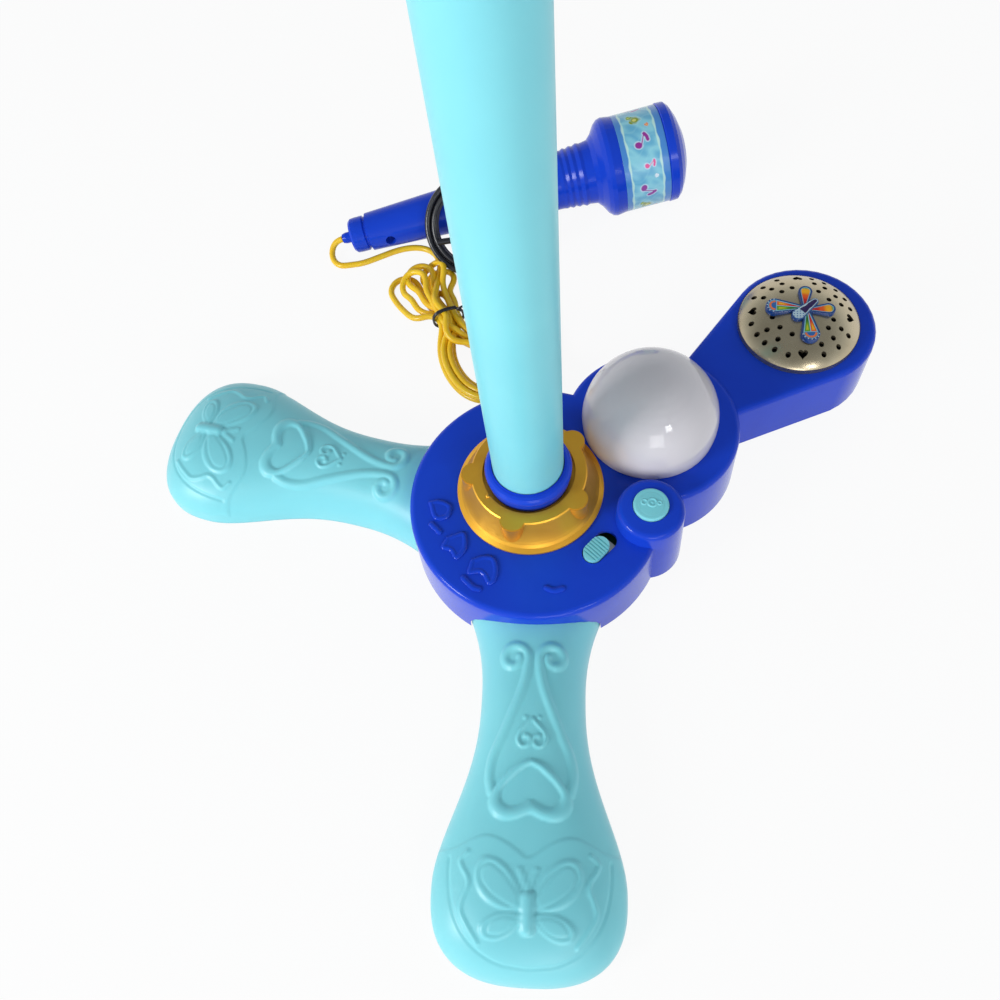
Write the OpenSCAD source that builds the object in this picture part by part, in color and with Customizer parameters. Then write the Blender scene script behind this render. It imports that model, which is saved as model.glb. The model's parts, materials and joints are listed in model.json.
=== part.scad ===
// Toy karaoke microphone with its floor stand: a hub on two paddle feet and a
// speaker arm, a telescopic pole with a tilting clip, and a corded handheld
// microphone that lies on the floor behind the pole.
// Millimetres. Origin: the pole's axis on the floor. +Z up, the front foot
// points along -Y.

/* [Hub] */
// Height of the hub's deck above the floor
hub_h = 33.4; // [32.4:0.2:35]
// Radius of the hub's wall at the floor
hub_r = 61.7; // [60.5:0.2:63]
// Wall thickness of the hub, its turret, lobe and arm
hub_wall = 2.4; // [2:0.1:2.8]
// Draft of the outside walls, degrees
draft = 3; // [2:0.25:4]
// Radius of the rounded top edges
edge_r = 3; // [2.4:0.2:3.4]
// Radius of the lobe that carries the light dome, at the floor
lobe_r = 43.9; // [43:0.2:45]
// Radius of the button's turret at the floor
turret_r = 17.5; // [17:0.2:18.2]
// Height of the button's turret
turret_h = 43; // [42:0.5:45]
// Thickness of the bottom plate
plate_t = 2.6; // [2.2:0.1:3]

/* [Speaker arm] */
// Height of the arm's top face
arm_h = 31.5; // [31:0.1:32]
// Radius of the arm's round end at the floor
arm_end_r = 37.4; // [36.8:0.2:38.4]
// Radius of the speaker grille
grille_r = 30; // [29:0.2:31]
// Rise of the grille's dome above its rim
grille_rise = 9.5; // [8:0.5:10]
// Diameter of the grille's round holes
grille_hole_d = 2.6; // [2:0.2:2.8]

/* [Light dome] */
// Outside radius of the milky light dome
dome_r = 32.5; // [31.5:0.25:33]
// Wall of the light dome
dome_wall = 1.6; // [1.2:0.2:2]

/* [Feet] */
// Length of a foot from the hub's centre to its tip
foot_reach = 203; // [198:1:210]
// Half width of the paddle
foot_w = 40.9; // [38:0.5:43]
// Half width of the foot's neck
neck_w = 23.7; // [22.5:0.3:25]
// Height of a foot
foot_h = 25.6; // [24:0.2:26.4]
// Wall thickness of a foot
foot_wall = 2.2; // [1.8:0.1:2.6]
// Direction of the left foot, degrees from +X
left_angle = 166; // [160:1:170]

/* [Pole] */
// Outside diameter of the lower tube
tube_d = 32; // [31:0.2:33]
// Wall of both tubes
tube_wall = 1.6; // [1.2:0.1:1.8]
// Top of the lower tube above the floor
tube_top = 480; // [440:10:520]
// Outside diameter of the upper tube
inner_tube_d = 26; // [25:0.2:27]
// Length of the upper tube
inner_tube_l = 440; // [400:10:440]
// How far the upper tube stands out of the lower one at rest
inner_tube_out = 40; // [36:1:60]

/* [Lock nut] */
// Radius of the lock nut's base
nut_r = 34.5; // [33.5:0.2:35.5]
// Height of the lock nut's top above the floor
nut_top = 50; // [49:0.25:51]
// Number of knobs on the lock nut
nut_knobs = 5; // [5:1:6]
// Radius of one knob
knob_r = 5.8; // [5:0.2:6.2]

/* [Controls] */
// Radius of the play button
button_r = 8.05; // [7.5:0.1:8.6]
// Travel of the play button
button_travel = 1.4; // [1:0.1:1.6]
// Length of the switch's slider
slider_l = 13.4; // [12:0.2:14]
// Width of the switch's slider
slider_w = 8.8; // [8:0.2:9.4]
// Travel of the switch's slider
slider_travel = 4.4; // [4:0.2:5]

/* [Microphone] */
// Length of the microphone's body
mic_l = 202.8; // [195:0.4:211]
// Radius of the head's rim
head_r = 27.5; // [26.5:0.25:28.5]
// Radius of the tail's cap
cap_r = 10.2; // [9.6:0.1:10.8]
// Radius of the handle where its ribs begin
neck_r = 16; // [15.5:0.1:16.5]
// Wall of the microphone's shells
mic_wall = 2; // [1.6:0.1:2.2]
// Where the tail's end lies, X and Y
mic_place = [-114, 182.1];
// Direction that the head points in, degrees from +X
mic_turn = 11.6; // [10:0.2:13]

/* [Holder] */
// Inside radius of the microphone clip
clip_r = 14.6; // [14:0.1:15.2]
// Length of the clip along the handle
clip_l = 24; // [20:1:28]
// Angle that the clip leaves open, degrees
clip_gap = 100; // [90:5:120]

/* [Cords] */
// Diameter of the microphone's cord and of the audio lead
cord_d = 3.6; // [3.2:0.1:3.8]

/* [Hidden] */
$fn = 72;

seat = 0.3;        // running gap between faces that meet but may move
snug = 0.1;        // radial clearance of a sliding fit
screw_r = 1.3;     // shank of every small screw
screw_head_r = 2.8;
screw_hole_r = 1.5;
boss_r = 3.4;

light_blue = [0.55, 0.87, 0.90];
royal_blue = [0.12, 0.22, 0.78];
gold = [0.86, 0.66, 0.20];
milk = [0.88, 0.87, 0.88];
champagne = [0.78, 0.73, 0.62];
steel = [0.72, 0.72, 0.74];
board_green = [0.10, 0.42, 0.22];
cord_yellow = [0.96, 0.82, 0.12];
lead_black = [0.06, 0.06, 0.07];

// ---- plan of the base ----
hub_c = [2.6, -4.4];
lobe_c = [58, 35.3];
turret_c = [55.2, -14.7];
arm_end_c = [137, 96];
arm_root_c = [85.9, 55.9];
arm_root_r = 19.8;
grille_c = [133.4, 94.1];
dome_c = [56.7, 36.6];
front_angle = -90;
roof = hub_h - hub_wall;                 // underside of the deck
arm_roof = arm_h - hub_wall;
turret_roof = turret_h - hub_wall;

// ---- feet ----
foot_root = 43;                          // start of the tongue inside the hub
foot_wide = 168;                         // where the paddle is widest
foot_slim = 88;                          // where the neck is slimmest
foot_skirt = 3.2;                        // the tongue clears the bottom plate

// ---- pole ----
tube_r = tube_d / 2;
tube_foot = 6;                           // the tube's lower end
inner_r = inner_tube_d / 2;
inner_top = tube_top + inner_tube_out;
socket_r = 18.6;                         // outside of the tube's socket
ring_r = 19.8;                           // the blue ring above the lock nut
ring_z = 52.8;
ring_top = 58.7;

// ---- dome ----
dome_z = hub_h + 4.6;                    // centre of the dome's sphere
dome_lip_r = dome_r - dome_wall - 0.6;

// ---- switch and button ----
slot_c = [32.2, -30.1];
slot_turn = 47.5;
slot_w = slider_w + 1;
slot_l = slider_l + slider_travel + 0.9;
button_c = [55.1, -13.6];
button_top = turret_h + 1.6;
board_z = 22.4;                          // underside of the control board
board_t = 1.6;
board_c = [43.9, -22.6];
board_turn = 33.8;

// ---- batteries ----
cell_r = 7.25;
cell_l = 50.5;
cell_pitch = 15;
door_l = 50;
door_w = 44;
tray_turn = 35;

// ---- microphone ----
rim_s = 158 * mic_l / 202.8;             // the head's rim, from the tail's end
cap_s = 4;                               // the cap's resting edge
mic_tilt = atan((head_r - cap_r) / (rim_s - cap_s));
mic_z = cap_r * cos(mic_tilt) - cap_s * sin(mic_tilt);

// ---- holder ----
pivot_z = inner_top + 18;
clip_z = pivot_z + clip_r + 8.8;
pin_r = 2;

// ---- cords ----
cord_r = cord_d / 2;
jack_angle = 97;
audio_angle = 84;
outlet_z = 12;

// ================= helpers =================
// Corner points of a rounded edge, from the wall to the top face.
function edge_arc(r, z, e) = [for (a = [0 : 22.5 : 90]) [r - e + e * cos(a), z - e + e * sin(a)]];

// A round pad with drafted wall and a rounded top edge.
module pad(c, r, h, e) {
    top_r = r - (h - e) * tan(draft);
    translate([c[0], c[1], 0])
        rotate_extrude()
            polygon(concat([[0, 0], [r, 0]], edge_arc(top_r, h, e), [[0, h]]));
}

// Direction cosines of an angle.
function dir(a) = [cos(a), sin(a)];

// A point at distance s from the hub's centre and t to its left.
function from_hub(angle, s, t = 0) = hub_c + s * dir(angle) + t * dir(angle + 90);

// Joins rings of points into one closed skin; every ring has the same count.
module skin(rings) {
    n = len(rings[0]);
    m = len(rings);
    points = [for (ring = rings) each ring];
    sides = [for (j = [0 : m - 2]) for (i = [0 : n - 1])
        let (k = (i + 1) % n) each [
            [j * n + i, j * n + k, (j + 1) * n + k],
            [j * n + i, (j + 1) * n + k, (j + 1) * n + i]]];
    near_end = [for (i = [1 : n - 2]) [0, i + 1, i]];
    far_end = [for (i = [1 : n - 2]) [(m - 1) * n, (m - 1) * n + i, (m - 1) * n + i + 1]];
    polyhedron(points, concat(sides, near_end, far_end));
}

// A tube of radius r along a list of points.
function unit(v) = v / norm(v);
function course(p, i) = unit(p[min(i + 1, len(p) - 1)] - p[max(i - 1, 0)]);
function across(t) = unit(cross([0, 0, 1], t));
module run(p, r, sides = 10) {
    skin([for (i = [0 : len(p) - 1])
        let (t = course(p, i), u = across(t), v = cross(t, u))
        [for (k = [0 : sides - 1]) let (a = 360 * k / sides)
            p[i] + r * (cos(a) * u + sin(a) * v)]]);
}

// A flat bar with round ends, centred on the origin.
module stadium(l, w) {
    square([l - w, w], center = true);
    for (x = [-1, 1]) translate([x * (l - w) / 2, 0]) circle(d = w);
}

// A flat rectangle with corners of radius r.
module rounded_plan(l, w, r) {
    square([l - 2 * r, w], center = true);
    square([l, w - 2 * r], center = true);
    for (x = [-1, 1]) for (y = [-1, 1]) translate([x * (l / 2 - r), y * (w / 2 - r)]) circle(r = r);
}

// A pan-head screw that points up, its head's underside at z = 0.
module screw(length) {
    translate([0, 0, -1.1]) cylinder(r = screw_head_r, h = 1.1);
    cylinder(r = screw_r, h = length);
}

// ================= hub =================
// The solid form of the hub, drawn in by inset on every outside face.
module hub_form(inset = 0) {
    top = inset == 0 ? 0 : hub_wall;
    e = max(edge_r - inset, 0.6);
    pad(hub_c, hub_r - inset, hub_h - top, e);
    pad(lobe_c, lobe_r - inset, hub_h - top, e);
    pad(turret_c, turret_r - inset, turret_h - top, e);
    hull() {
        pad(arm_end_c, arm_end_r - inset, arm_h - top, e, $fn = 40);
        pad(arm_root_c, arm_root_r - inset, arm_h - top, e, $fn = 32);
    }
}

// Places of the screws that hold the bottom plate, X and Y.
plate_screw_at = [
    from_hub(-140, hub_r - 9), from_hub(-42, hub_r - 8.3), from_hub(118, hub_r - 9),
    lobe_c + (lobe_r - 7.2) * dir(-20), lobe_c + (lobe_r - 7.2) * dir(92),
    arm_end_c + (arm_end_r - 6.4) * dir(84), arm_end_c + (arm_end_r - 6.6) * dir(-15)
];

module bosses() {
    for (p = plate_screw_at)
        translate([p[0], p[1], plate_t + seat]) difference() {
            cylinder(r = boss_r, h = (norm(p - arm_end_c) < arm_end_r ? arm_roof : roof) - plate_t);
            translate([0, 0, -1]) cylinder(r = screw_r + 0.05, h = 15);
        }
}

// Where the control board hangs, on two pillars under the deck.
board_pillar_at = [for (p = [[-1, 6], [2, -6.2]])
    board_c + p[0] * dir(board_turn) + p[1] * dir(board_turn + 90)];

// Where the lamp's board hangs, on three posts round the dome's seat.
lamp_post_at = [for (a = [35, 150, 265]) dome_c + (dome_r + 0.9) * dir(a)];

module hub_shell() {
    color(royal_blue) {
        difference() {
            hub_form();
            translate([0, 0, -0.01]) hub_form(hub_wall);
            // the tube's socket
            translate([0, 0, roof - 1]) cylinder(r = socket_r + 0.2, h = 6);
            // the light dome's seat
            translate([dome_c[0], dome_c[1], roof - 1]) cylinder(r = dome_lip_r + 0.3, h = 6);
            // the speaker's mouth
            translate([grille_c[0], grille_c[1], arm_roof - 1]) cylinder(r = grille_r - 1.6, h = 6);
            // the button's hole and the switch's slot
            translate([button_c[0], button_c[1], turret_roof - 1]) cylinder(r = button_r + seat, h = 6);
            translate([slot_c[0], slot_c[1], roof - 1]) rotate(slot_turn)
                linear_extrude(6) stadium(slot_l, slot_w);
            // mouths for the two feet
            foot_mouth(front_angle);
            foot_mouth(left_angle);
            // outlets at the back
            outlet(jack_angle, 3.2);
            outlet(audio_angle, 3.3);
        }
        bosses();
        for (p = board_pillar_at)
            translate([p[0], p[1], board_z + board_t]) cylinder(r = 2.4, h = roof + 0.5 - board_z - board_t);
        for (p = lamp_post_at) translate([p[0], p[1], lamp_z + 1.65])
            cylinder(r = 2, h = roof + 0.5 - lamp_z - 1.65);
    }
}

module outlet(angle, r) {
    p = from_hub(angle, hub_r - 8);
    translate([p[0], p[1], outlet_z]) rotate([0, 90, angle]) cylinder(r = r, h = 12);
}

// The plan of the bottom plate, drawn in from the shell's inside.
module plate_plan(inset) {
    translate(hub_c) circle(r = hub_r - inset);
    translate(lobe_c) circle(r = lobe_r - inset);
    translate(turret_c) circle(r = turret_r - inset);
    translate(arm_end_c) circle(r = arm_end_r - inset);
    arm_axis = arm_end_c - arm_root_c;
    along = atan2(arm_axis[1], arm_axis[0]);
    spread = acos((arm_root_r - arm_end_r) / norm(arm_axis));
    in = inset + 0.08;
    polygon([
        for (s = [1, -1]) arm_root_c + (arm_root_r - in) * dir(along + s * spread),
        for (s = [-1, 1]) arm_end_c + (arm_end_r - in) * dir(along + s * spread)
    ]);
}

module bottom_plate() {
    color(royal_blue) difference() {
        union() {
            linear_extrude(plate_t) plate_plan(hub_wall + seat);
            // stop under the tube
            translate([0, 0, plate_t - 0.5]) cylinder(r = socket_r, h = tube_foot - seat - plate_t + 0.5);
            // thicker where the door's tab is screwed on
            tray_at() translate([0, 0, plate_t - 0.5]) linear_extrude(2) difference() {
                door_tab(2);
                translate([-5, -20]) square([door_l / 2 + 6.4, 40]);
            }
            tray_at() translate([tab_l, 0, plate_t - 0.5]) cylinder(r = 4, h = 8);
            // tray for the cells
            tray_at() translate([0, 0, plate_t - 0.5]) linear_extrude(17.5) difference() {
                square([cell_l + 5.6, 3 * cell_pitch + 3], center = true);
                square([cell_l + 2.2, 3 * cell_pitch], center = true);
            }
        }
        tray_at() translate([-door_l / 2, -door_w / 2, -1]) cube([door_l, door_w, plate_t + 2]);
        for (p = plate_screw_at) translate([p[0], p[1], -1]) screw_seat();
        for (a = [front_angle, left_angle]) for (p = foot_screw_at(a))
            translate([p[0], p[1], -1]) screw_seat();
        tray_at() translate([0, 0, -1]) linear_extrude(3.1) door_tab(0.4);
        tray_at() translate([tab_l, 0, 0]) cylinder(r = screw_r + 0.05, h = 9);
    }
}

module screw_seat() {
    cylinder(r = screw_head_r + 0.3, h = 1 + 1.3);
    cylinder(r = screw_hole_r, h = 9);
}

module tray_at() translate([lobe_c[0], lobe_c[1], 0]) rotate(tray_turn) children();

module plate_screws() color(steel)
    for (p = plate_screw_at) translate([p[0], p[1], 1.3]) screw(12);

// ================= feet =================
// Half width of a foot at distance s from the hub's centre: a flared neck, a
// smooth swell and a blunt round tip.
function foot_half(s) =
    s < foot_slim ? neck_w + 6.5 * pow((foot_slim - s) / 35, 2.2)
    : s < foot_wide ? neck_w + (foot_w - neck_w) * swell(pow((s - foot_slim) / (foot_wide - foot_slim), 1.33))
    : foot_w * pow(max(1 - pow((s - foot_wide) / (foot_reach - foot_wide), 2.6), 0), 1 / 2.6);
function swell(t) = t * t * (3 - 2 * t);
// Height of the crown, which drops to the floor at the tip.
function foot_top(s) =
    s < foot_wide ? foot_h
    : foot_h * pow(max(1 - pow((s - foot_wide) / (foot_reach - foot_wide), 2.3), 0), 1 / 2.3);
function round_pow(v, p) = sign(v) * pow(abs(v), p);

// One arc over a foot, from its right edge to its left one, as a superellipse.
// Inside the hub the arc's ends stay above the bottom plate.
function foot_arc(angle, s, grow) =
    let (w = max(foot_half(s) + grow, 2), h = max(foot_top(s) + grow, 2),
        low = norm([s, w]) < hub_r - 1.2 ? foot_skirt : 0)
    [for (a = [0 : 12 : 180])
        let (p = from_hub(angle, s, w * round_pow(cos(a), 0.88)))
        [p[0], p[1], a % 180 == 0 ? low : max(low + 1, h * round_pow(sin(a), 0.88))]];

// Stations along a foot, closer together at the hub's wall and at the tip.
function foot_stations(last) = concat(
    [for (s = [foot_root : 2.6 : 66]) s], [for (s = [73 : 9 : foot_wide - 4]) s],
    [for (a = [0 : 11.25 : 90]) foot_wide + (last - foot_wide) * sin(a)]);

// The hollow crown: the outside's arcs from tip to root, then the inside's back.
module foot_crown(angle) {
    outer = [for (s = foot_stations(foot_reach)) foot_arc(angle, s, 0)];
    inner = [for (s = foot_stations(foot_reach - foot_wall)) foot_arc(angle, s, -foot_wall)];
    m = len(outer);
    n = len(outer[0]);
    rings = concat([for (j = [m - 1 : -1 : 0]) outer[j]], inner);
    total = 2 * m;
    sides = [for (j = [0 : total - 2]) for (i = [0 : n - 2]) each [
        [j * n + i, (j + 1) * n + i + 1, (j + 1) * n + i],
        [j * n + i, j * n + i + 1, (j + 1) * n + i + 1]]];
    // the sole's edge joins each outer arc's ends to the inner one's
    soles = [for (j = [0 : m - 2]) let (k = total - 1 - j) each [
        [j * n, (j + 1) * n, k * n], [(j + 1) * n, (k - 1) * n, k * n],
        [j * n + n - 1, k * n + n - 1, (j + 1) * n + n - 1],
        [(j + 1) * n + n - 1, k * n + n - 1, (k - 1) * n + n - 1]]];
    last = (total - 1) * n;
    tip = concat(
        [for (i = [1 : n - 2]) [0, i + 1, i]],
        [for (i = [1 : n - 2]) [last, last + i, last + i + 1]],
        [[0, last + n - 1, n - 1], [0, last, last + n - 1]]);
    polyhedron([for (ring = rings) each ring], concat(sides, soles, tip));
}

// The cut that a foot passes through in the hub's wall.
module foot_mouth(angle)
    skin([for (s = [hub_r - 17, hub_r + 4])
        [for (a = [180 : -12 : 0])
            let (p = from_hub(angle, s, (foot_half(s) + 0.25) * round_pow(cos(a), 0.88)))
            [p[0], p[1], a % 180 == 0 ? -1 : (foot_h + 0.25) * round_pow(sin(a), 0.88)]]]);

function foot_screw_at(angle) = [for (t = [-13, 13]) from_hub(angle, foot_root + 7.5, t)];

module foot(angle) {
    color(light_blue) {
        foot_crown(angle);
        for (p = foot_screw_at(angle)) translate([p[0], p[1], foot_skirt]) difference() {
            cylinder(r = boss_r, h = foot_h - foot_skirt - foot_wall + 0.2);
            translate([0, 0, -1]) cylinder(r = screw_r + 0.05, h = 14);
        }
    }
}
module front_foot() foot(front_angle);
module left_foot() foot(left_angle);

module foot_screws() color(steel)
    for (a = [front_angle, left_angle]) for (p = foot_screw_at(a))
        translate([p[0], p[1], 1.3]) screw(12);

// ================= pole =================
module tube_socket() color(royal_blue) rotate_extrude()
    polygon(concat(
        [[tube_r + snug, tube_foot], [socket_r, tube_foot], [socket_r, roof - 3.2],
         [socket_r + 6, roof - 3.2], [socket_r + 6, roof - 0.2], [socket_r, roof - 0.2],
         [socket_r, ring_z - 4], [ring_r - 0.6, ring_z - 3.4]],
        [for (a = [-30 : 20 : 90]) [ring_r - 3.4 + 3.4 * cos(a), ring_z + 1.6 + 3.4 * sin(a)]],
        [[tube_r + snug + 0.3, ring_top]]));

module lock_nut() color(gold) difference() {
    union() {
        // flared skirt, from the base up to the flat ring on top
        rotate_extrude() difference() {
            polygon(concat(
                [[0, hub_h + seat], [nut_r, hub_h + seat], [nut_r, hub_h + 1.3]],
                [for (t = [0.12 : 0.11 : 1]) [nut_r - (nut_r - 26.6) * pow(t, 0.62),
                    hub_h + 1.3 + (nut_top - hub_h - 1.9) * pow(t, 1.18)]],
                [[26, nut_top], [0, nut_top]]));
            // hollow underside
            polygon([[socket_r + 4, hub_h], [nut_r - 3, hub_h], [27.6, nut_top - 8], [socket_r + 4, nut_top - 5]]);
        }
        for (k = [0 : nut_knobs - 1]) rotate(-105 + k * 360 / nut_knobs)
            translate([25.2, 0, 0]) {
                translate([0, 0, hub_h + 0.8]) cylinder(r = knob_r, h = nut_top - hub_h - 1.2);
                cylinder(r = knob_r - 0.4, h = nut_top);
            }
    }
    translate([0, 0, hub_h - 40 + seat]) cylinder(r = nut_r + 10, h = 40);
    translate([0, 0, hub_h - 1]) cylinder(r = socket_r + snug, h = 20);
    translate([0, 0, ring_z - 6.4]) cylinder(r = ring_r + 1.4, h = 10);
}

module lower_tube() color(light_blue) translate([0, 0, tube_foot]) difference() {
    cylinder(r = tube_r, h = tube_top - tube_foot);
    translate([0, 0, -1]) cylinder(r = tube_r - tube_wall, h = tube_top);
}

// Collar on the lower tube's top, with the neck that the lock ring grips.
neck_h = 17;
module height_socket() color(royal_blue) rotate_extrude()
    polygon([
        [tube_r + 0.05, tube_top - 30], [tube_r + 2.6, tube_top - 30], [tube_r + 3.2, tube_top - 28.6],
        [tube_r + 3.2, tube_top + 1.4], [tube_r + 2.4, tube_top + 2.4], [inner_r + 3.4, tube_top + 2.4],
        [inner_r + 3.4, tube_top + neck_h], [inner_r + snug, tube_top + neck_h],
        [inner_r + snug, tube_top + 0.1], [tube_r + 0.05, tube_top + 0.1]
    ]);

module height_nut() color(gold) difference() {
    union() {
        rotate_extrude() polygon([
            [0, tube_top + 2.8], [tube_r + 3.4, tube_top + 2.8], [tube_r + 4, tube_top + 4],
            [tube_r + 3, tube_top + neck_h], [tube_r + 1, tube_top + neck_h + 3.4], [0, tube_top + neck_h + 3.4]
        ]);
        for (k = [0 : 11]) rotate(30 * k) translate([tube_r + 2.7, 0, tube_top + 3.4])
            cylinder(r = 1.8, h = neck_h - 2.4);
    }
    translate([0, 0, tube_top]) cylinder(r = inner_r + 3.4 + snug, h = neck_h + seat);
    translate([0, 0, tube_top]) cylinder(r = inner_r + 0.5, h = neck_h + 10);
}

module upper_tube() color(light_blue) translate([0, 0, inner_top - inner_tube_l]) difference() {
    cylinder(r = inner_r, h = inner_tube_l);
    translate([0, 0, -1]) cylinder(r = inner_r - tube_wall, h = inner_tube_l + 2);
}

// Guide at the upper tube's lower end, which slides in the lower tube.
module tube_bush() color(steel) translate([0, 0, inner_top - inner_tube_l - 3]) difference() {
    union() {
        cylinder(r = tube_r - tube_wall - snug + 0.02, h = 3);
        cylinder(r = inner_r - tube_wall - 0.05, h = 18);
    }
    translate([0, 0, -1]) cylinder(r = inner_r - tube_wall - 2, h = 24);
}

// ================= holder =================
ear_t = 3;
knuckle_w = 10;
module holder_bracket() color(royal_blue) difference() {
    union() {
        translate([0, 0, inner_top + 0.05]) cylinder(r = inner_r + 1, h = 6);
        translate([0, 0, inner_top - 18]) cylinder(r = inner_r - tube_wall - 0.05, h = 19);
        for (s = [-1, 1]) translate([s * (knuckle_w + ear_t + 0.6) / 2, 0, 0]) {
            translate([0, 0, pivot_z]) rotate([0, 90, 0]) cylinder(r = 6, h = ear_t, center = true);
            translate([-ear_t / 2, -6, inner_top + 4]) cube([ear_t, 12, pivot_z - inner_top - 4]);
        }
    }
    translate([0, 0, pivot_z]) rotate([0, 90, 0]) cylinder(r = pin_r + 0.05, h = 40, center = true);
}

module holder_pin() color(steel) translate([0, 0, pivot_z]) rotate([0, 90, 0]) {
    half = knuckle_w / 2 + ear_t + 0.6;
    cylinder(r = pin_r, h = 2 * half + 1, center = true);
    translate([0, 0, half + 0.1]) cylinder(r = pin_r + 1.6, h = 1.6);
}

module mic_holder() color(royal_blue) difference() {
    union() {
        translate([0, 0, pivot_z]) rotate([0, 90, 0]) cylinder(r = 5.4, h = knuckle_w, center = true);
        translate([-knuckle_w / 2, -5.4, pivot_z]) cube([knuckle_w, 10.8, clip_z - clip_r - pivot_z]);
        translate([0, clip_l / 2, clip_z]) rotate([90, 0, 0]) difference() {
            cylinder(r = clip_r + 2.6, h = clip_l);
            linear_extrude(3 * clip_l, center = true) polygon([[0, 0],
                for (a = [90 - clip_gap / 2, 90, 90 + clip_gap / 2]) 2 * clip_r * dir(a)]);
        }
        for (s = [-1, 1]) translate([0, clip_l / 2, clip_z]) rotate([90, 0, 0])
            translate((clip_r + 1.6) * dir(90 + s * (clip_gap / 2 + 4))) cylinder(r = 1.9, h = clip_l);
    }
    translate([0, clip_l, clip_z]) rotate([90, 0, 0]) cylinder(r = clip_r, h = 2 * clip_l);
    translate([0, 0, pivot_z]) rotate([0, 90, 0]) cylinder(r = pin_r + 0.06, h = 40, center = true);
}

// ================= light =================
lamp_z = 21.2;
module light_dome() color(milk) translate([dome_c[0], dome_c[1], 0]) rotate_extrude() {
    rim_z = hub_h + seat;
    outer_start = asin((rim_z - dome_z) / dome_r);
    inner_r0 = dome_r - dome_wall;
    inner_start = asin((rim_z - dome_z) / inner_r0);
    steps = 14;
    polygon(concat(
        [for (k = [0 : steps]) let (a = outer_start + (90 - outer_start) * k / steps)
            [dome_r * cos(a), dome_z + dome_r * sin(a)]],
        [for (k = [steps : -1 : 0]) let (a = inner_start + (90 - inner_start) * k / steps)
            [inner_r0 * cos(a), dome_z + inner_r0 * sin(a)]],
        [[dome_lip_r - 1.4, rim_z - 0.6], [dome_lip_r - 1.4, roof - 1.4], [dome_lip_r, roof - 1.4],
         [dome_lip_r, rim_z]]));
}

module lamp_board() color(board_green) translate([0, 0, lamp_z]) difference() {
    linear_extrude(1.6) {
        translate(dome_c) circle(r = dome_lip_r - 0.3);
        for (p = lamp_post_at) translate(p) circle(r = 3.6);
    }
    for (p = lamp_post_at) translate([p[0], p[1], -1]) cylinder(r = 1, h = 4);
}

module lamp_leds() color([0.95, 0.95, 0.9]) for (a = [0 : 90 : 270])
    translate([dome_c[0], dome_c[1], lamp_z + 1.6]) rotate(a + 20) translate([12, 0, 0]) {
        cylinder(r = 2.9, h = 1.2);
        cylinder(r = 2.5, h = 6);
        translate([0, 0, 6]) sphere(r = 2.5);
    }

// ================= speaker =================
// Height of the grille's outer face above the arm, at radius r.
rim_h = 3;
function grille_z(r, full, rise) = arm_h + rim_h + rise * pow(max(1 - pow(r / full, 2.6), 0), 1 / 2.2);
grille_wall = 1.2;

// The rings of holes: each radius with the directions of its round holes, in degrees.
hole_rings = [
    [24.9, [9, 24, 40, 56, 71, 112, 132, 151, 190, 206, 220, 234, 250, 290, 310, 330]],
    [20.4, [14, 30, 50, 66, 112, 130, 150, 209, 230, 291, 311, 331]],
    [15.3, [27, 53, 103, 125, 193, 219, 245, 317, 339]]
];
heart_at = [-6, 88, 173, 266];
module heart(w) rotate(-45) {
    square(w * 0.6);
    translate([w * 0.3, w * 0.6]) circle(r = w * 0.3);
    translate([w * 0.6, w * 0.3]) circle(r = w * 0.3);
}

module speaker_grille() color(champagne) translate([grille_c[0], grille_c[1], 0]) difference() {
    rotate_extrude() {
        inner = grille_r - grille_wall;
        radii = [1, 0.985, 0.955, 0.9, 0.8, 0.65, 0.45, 0];
        polygon(concat(
            [[grille_r - 3.4, arm_roof], [grille_r - 1.9, arm_roof], [grille_r - 1.9, arm_h + 0.1],
             [grille_r, arm_h + 0.1]],
            [for (k = radii) [k * grille_r, grille_z(k * grille_r, grille_r, grille_rise)]],
            [for (i = [len(radii) - 1 : -1 : 0]) let (r = radii[i] * inner)
                [r, grille_z(r, inner, grille_rise) - grille_wall]],
            [[inner, arm_h + 1.5], [grille_r - 3.4, arm_h + 1.5]]));
    }
    for (ring = hole_rings) for (a = ring[1])
        rotate(a) translate([ring[0] * grille_r / 30, 0, arm_h + rim_h + 1])
            cylinder(d = grille_hole_d, h = grille_rise + 4, $fn = 16);
    for (a = heart_at) rotate(a) translate([0.78 * grille_r, 0, arm_h + rim_h + 1])
        linear_extrude(grille_rise + 4) rotate(90) translate([0, -2.2]) heart(3.6);
}

cone_r = 0.8 * grille_r;
module speaker_frame() color(steel) translate([grille_c[0], grille_c[1], 0]) difference() {
    rotate_extrude() polygon([
        [cone_r + 0.6, arm_roof - 1.9], [grille_r - 1, arm_roof - 1.9], [grille_r - 1, arm_roof - 0.3],
        [cone_r + 0.6, arm_roof - 0.3]]);
}
// The cone with its surround and dust cap.
module speaker_cone() color([0.1, 0.1, 0.11]) translate([grille_c[0], grille_c[1], 0]) rotate_extrude()
    polygon([
        [cone_r + 0.5, arm_roof - 1.6], [cone_r - 1, arm_roof + 0.4], [cone_r - 2.6, arm_roof - 1.2],
        [8, arm_roof - 9], [5, arm_roof - 7.4], [0, arm_roof - 6.6], [0, arm_roof - 7.6],
        [4.6, arm_roof - 8.4], [7.6, arm_roof - 10.4], [8.6, arm_roof - 10], [cone_r - 2.4, arm_roof - 2.4],
        [cone_r + 0.5, arm_roof - 2.4]]);
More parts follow.
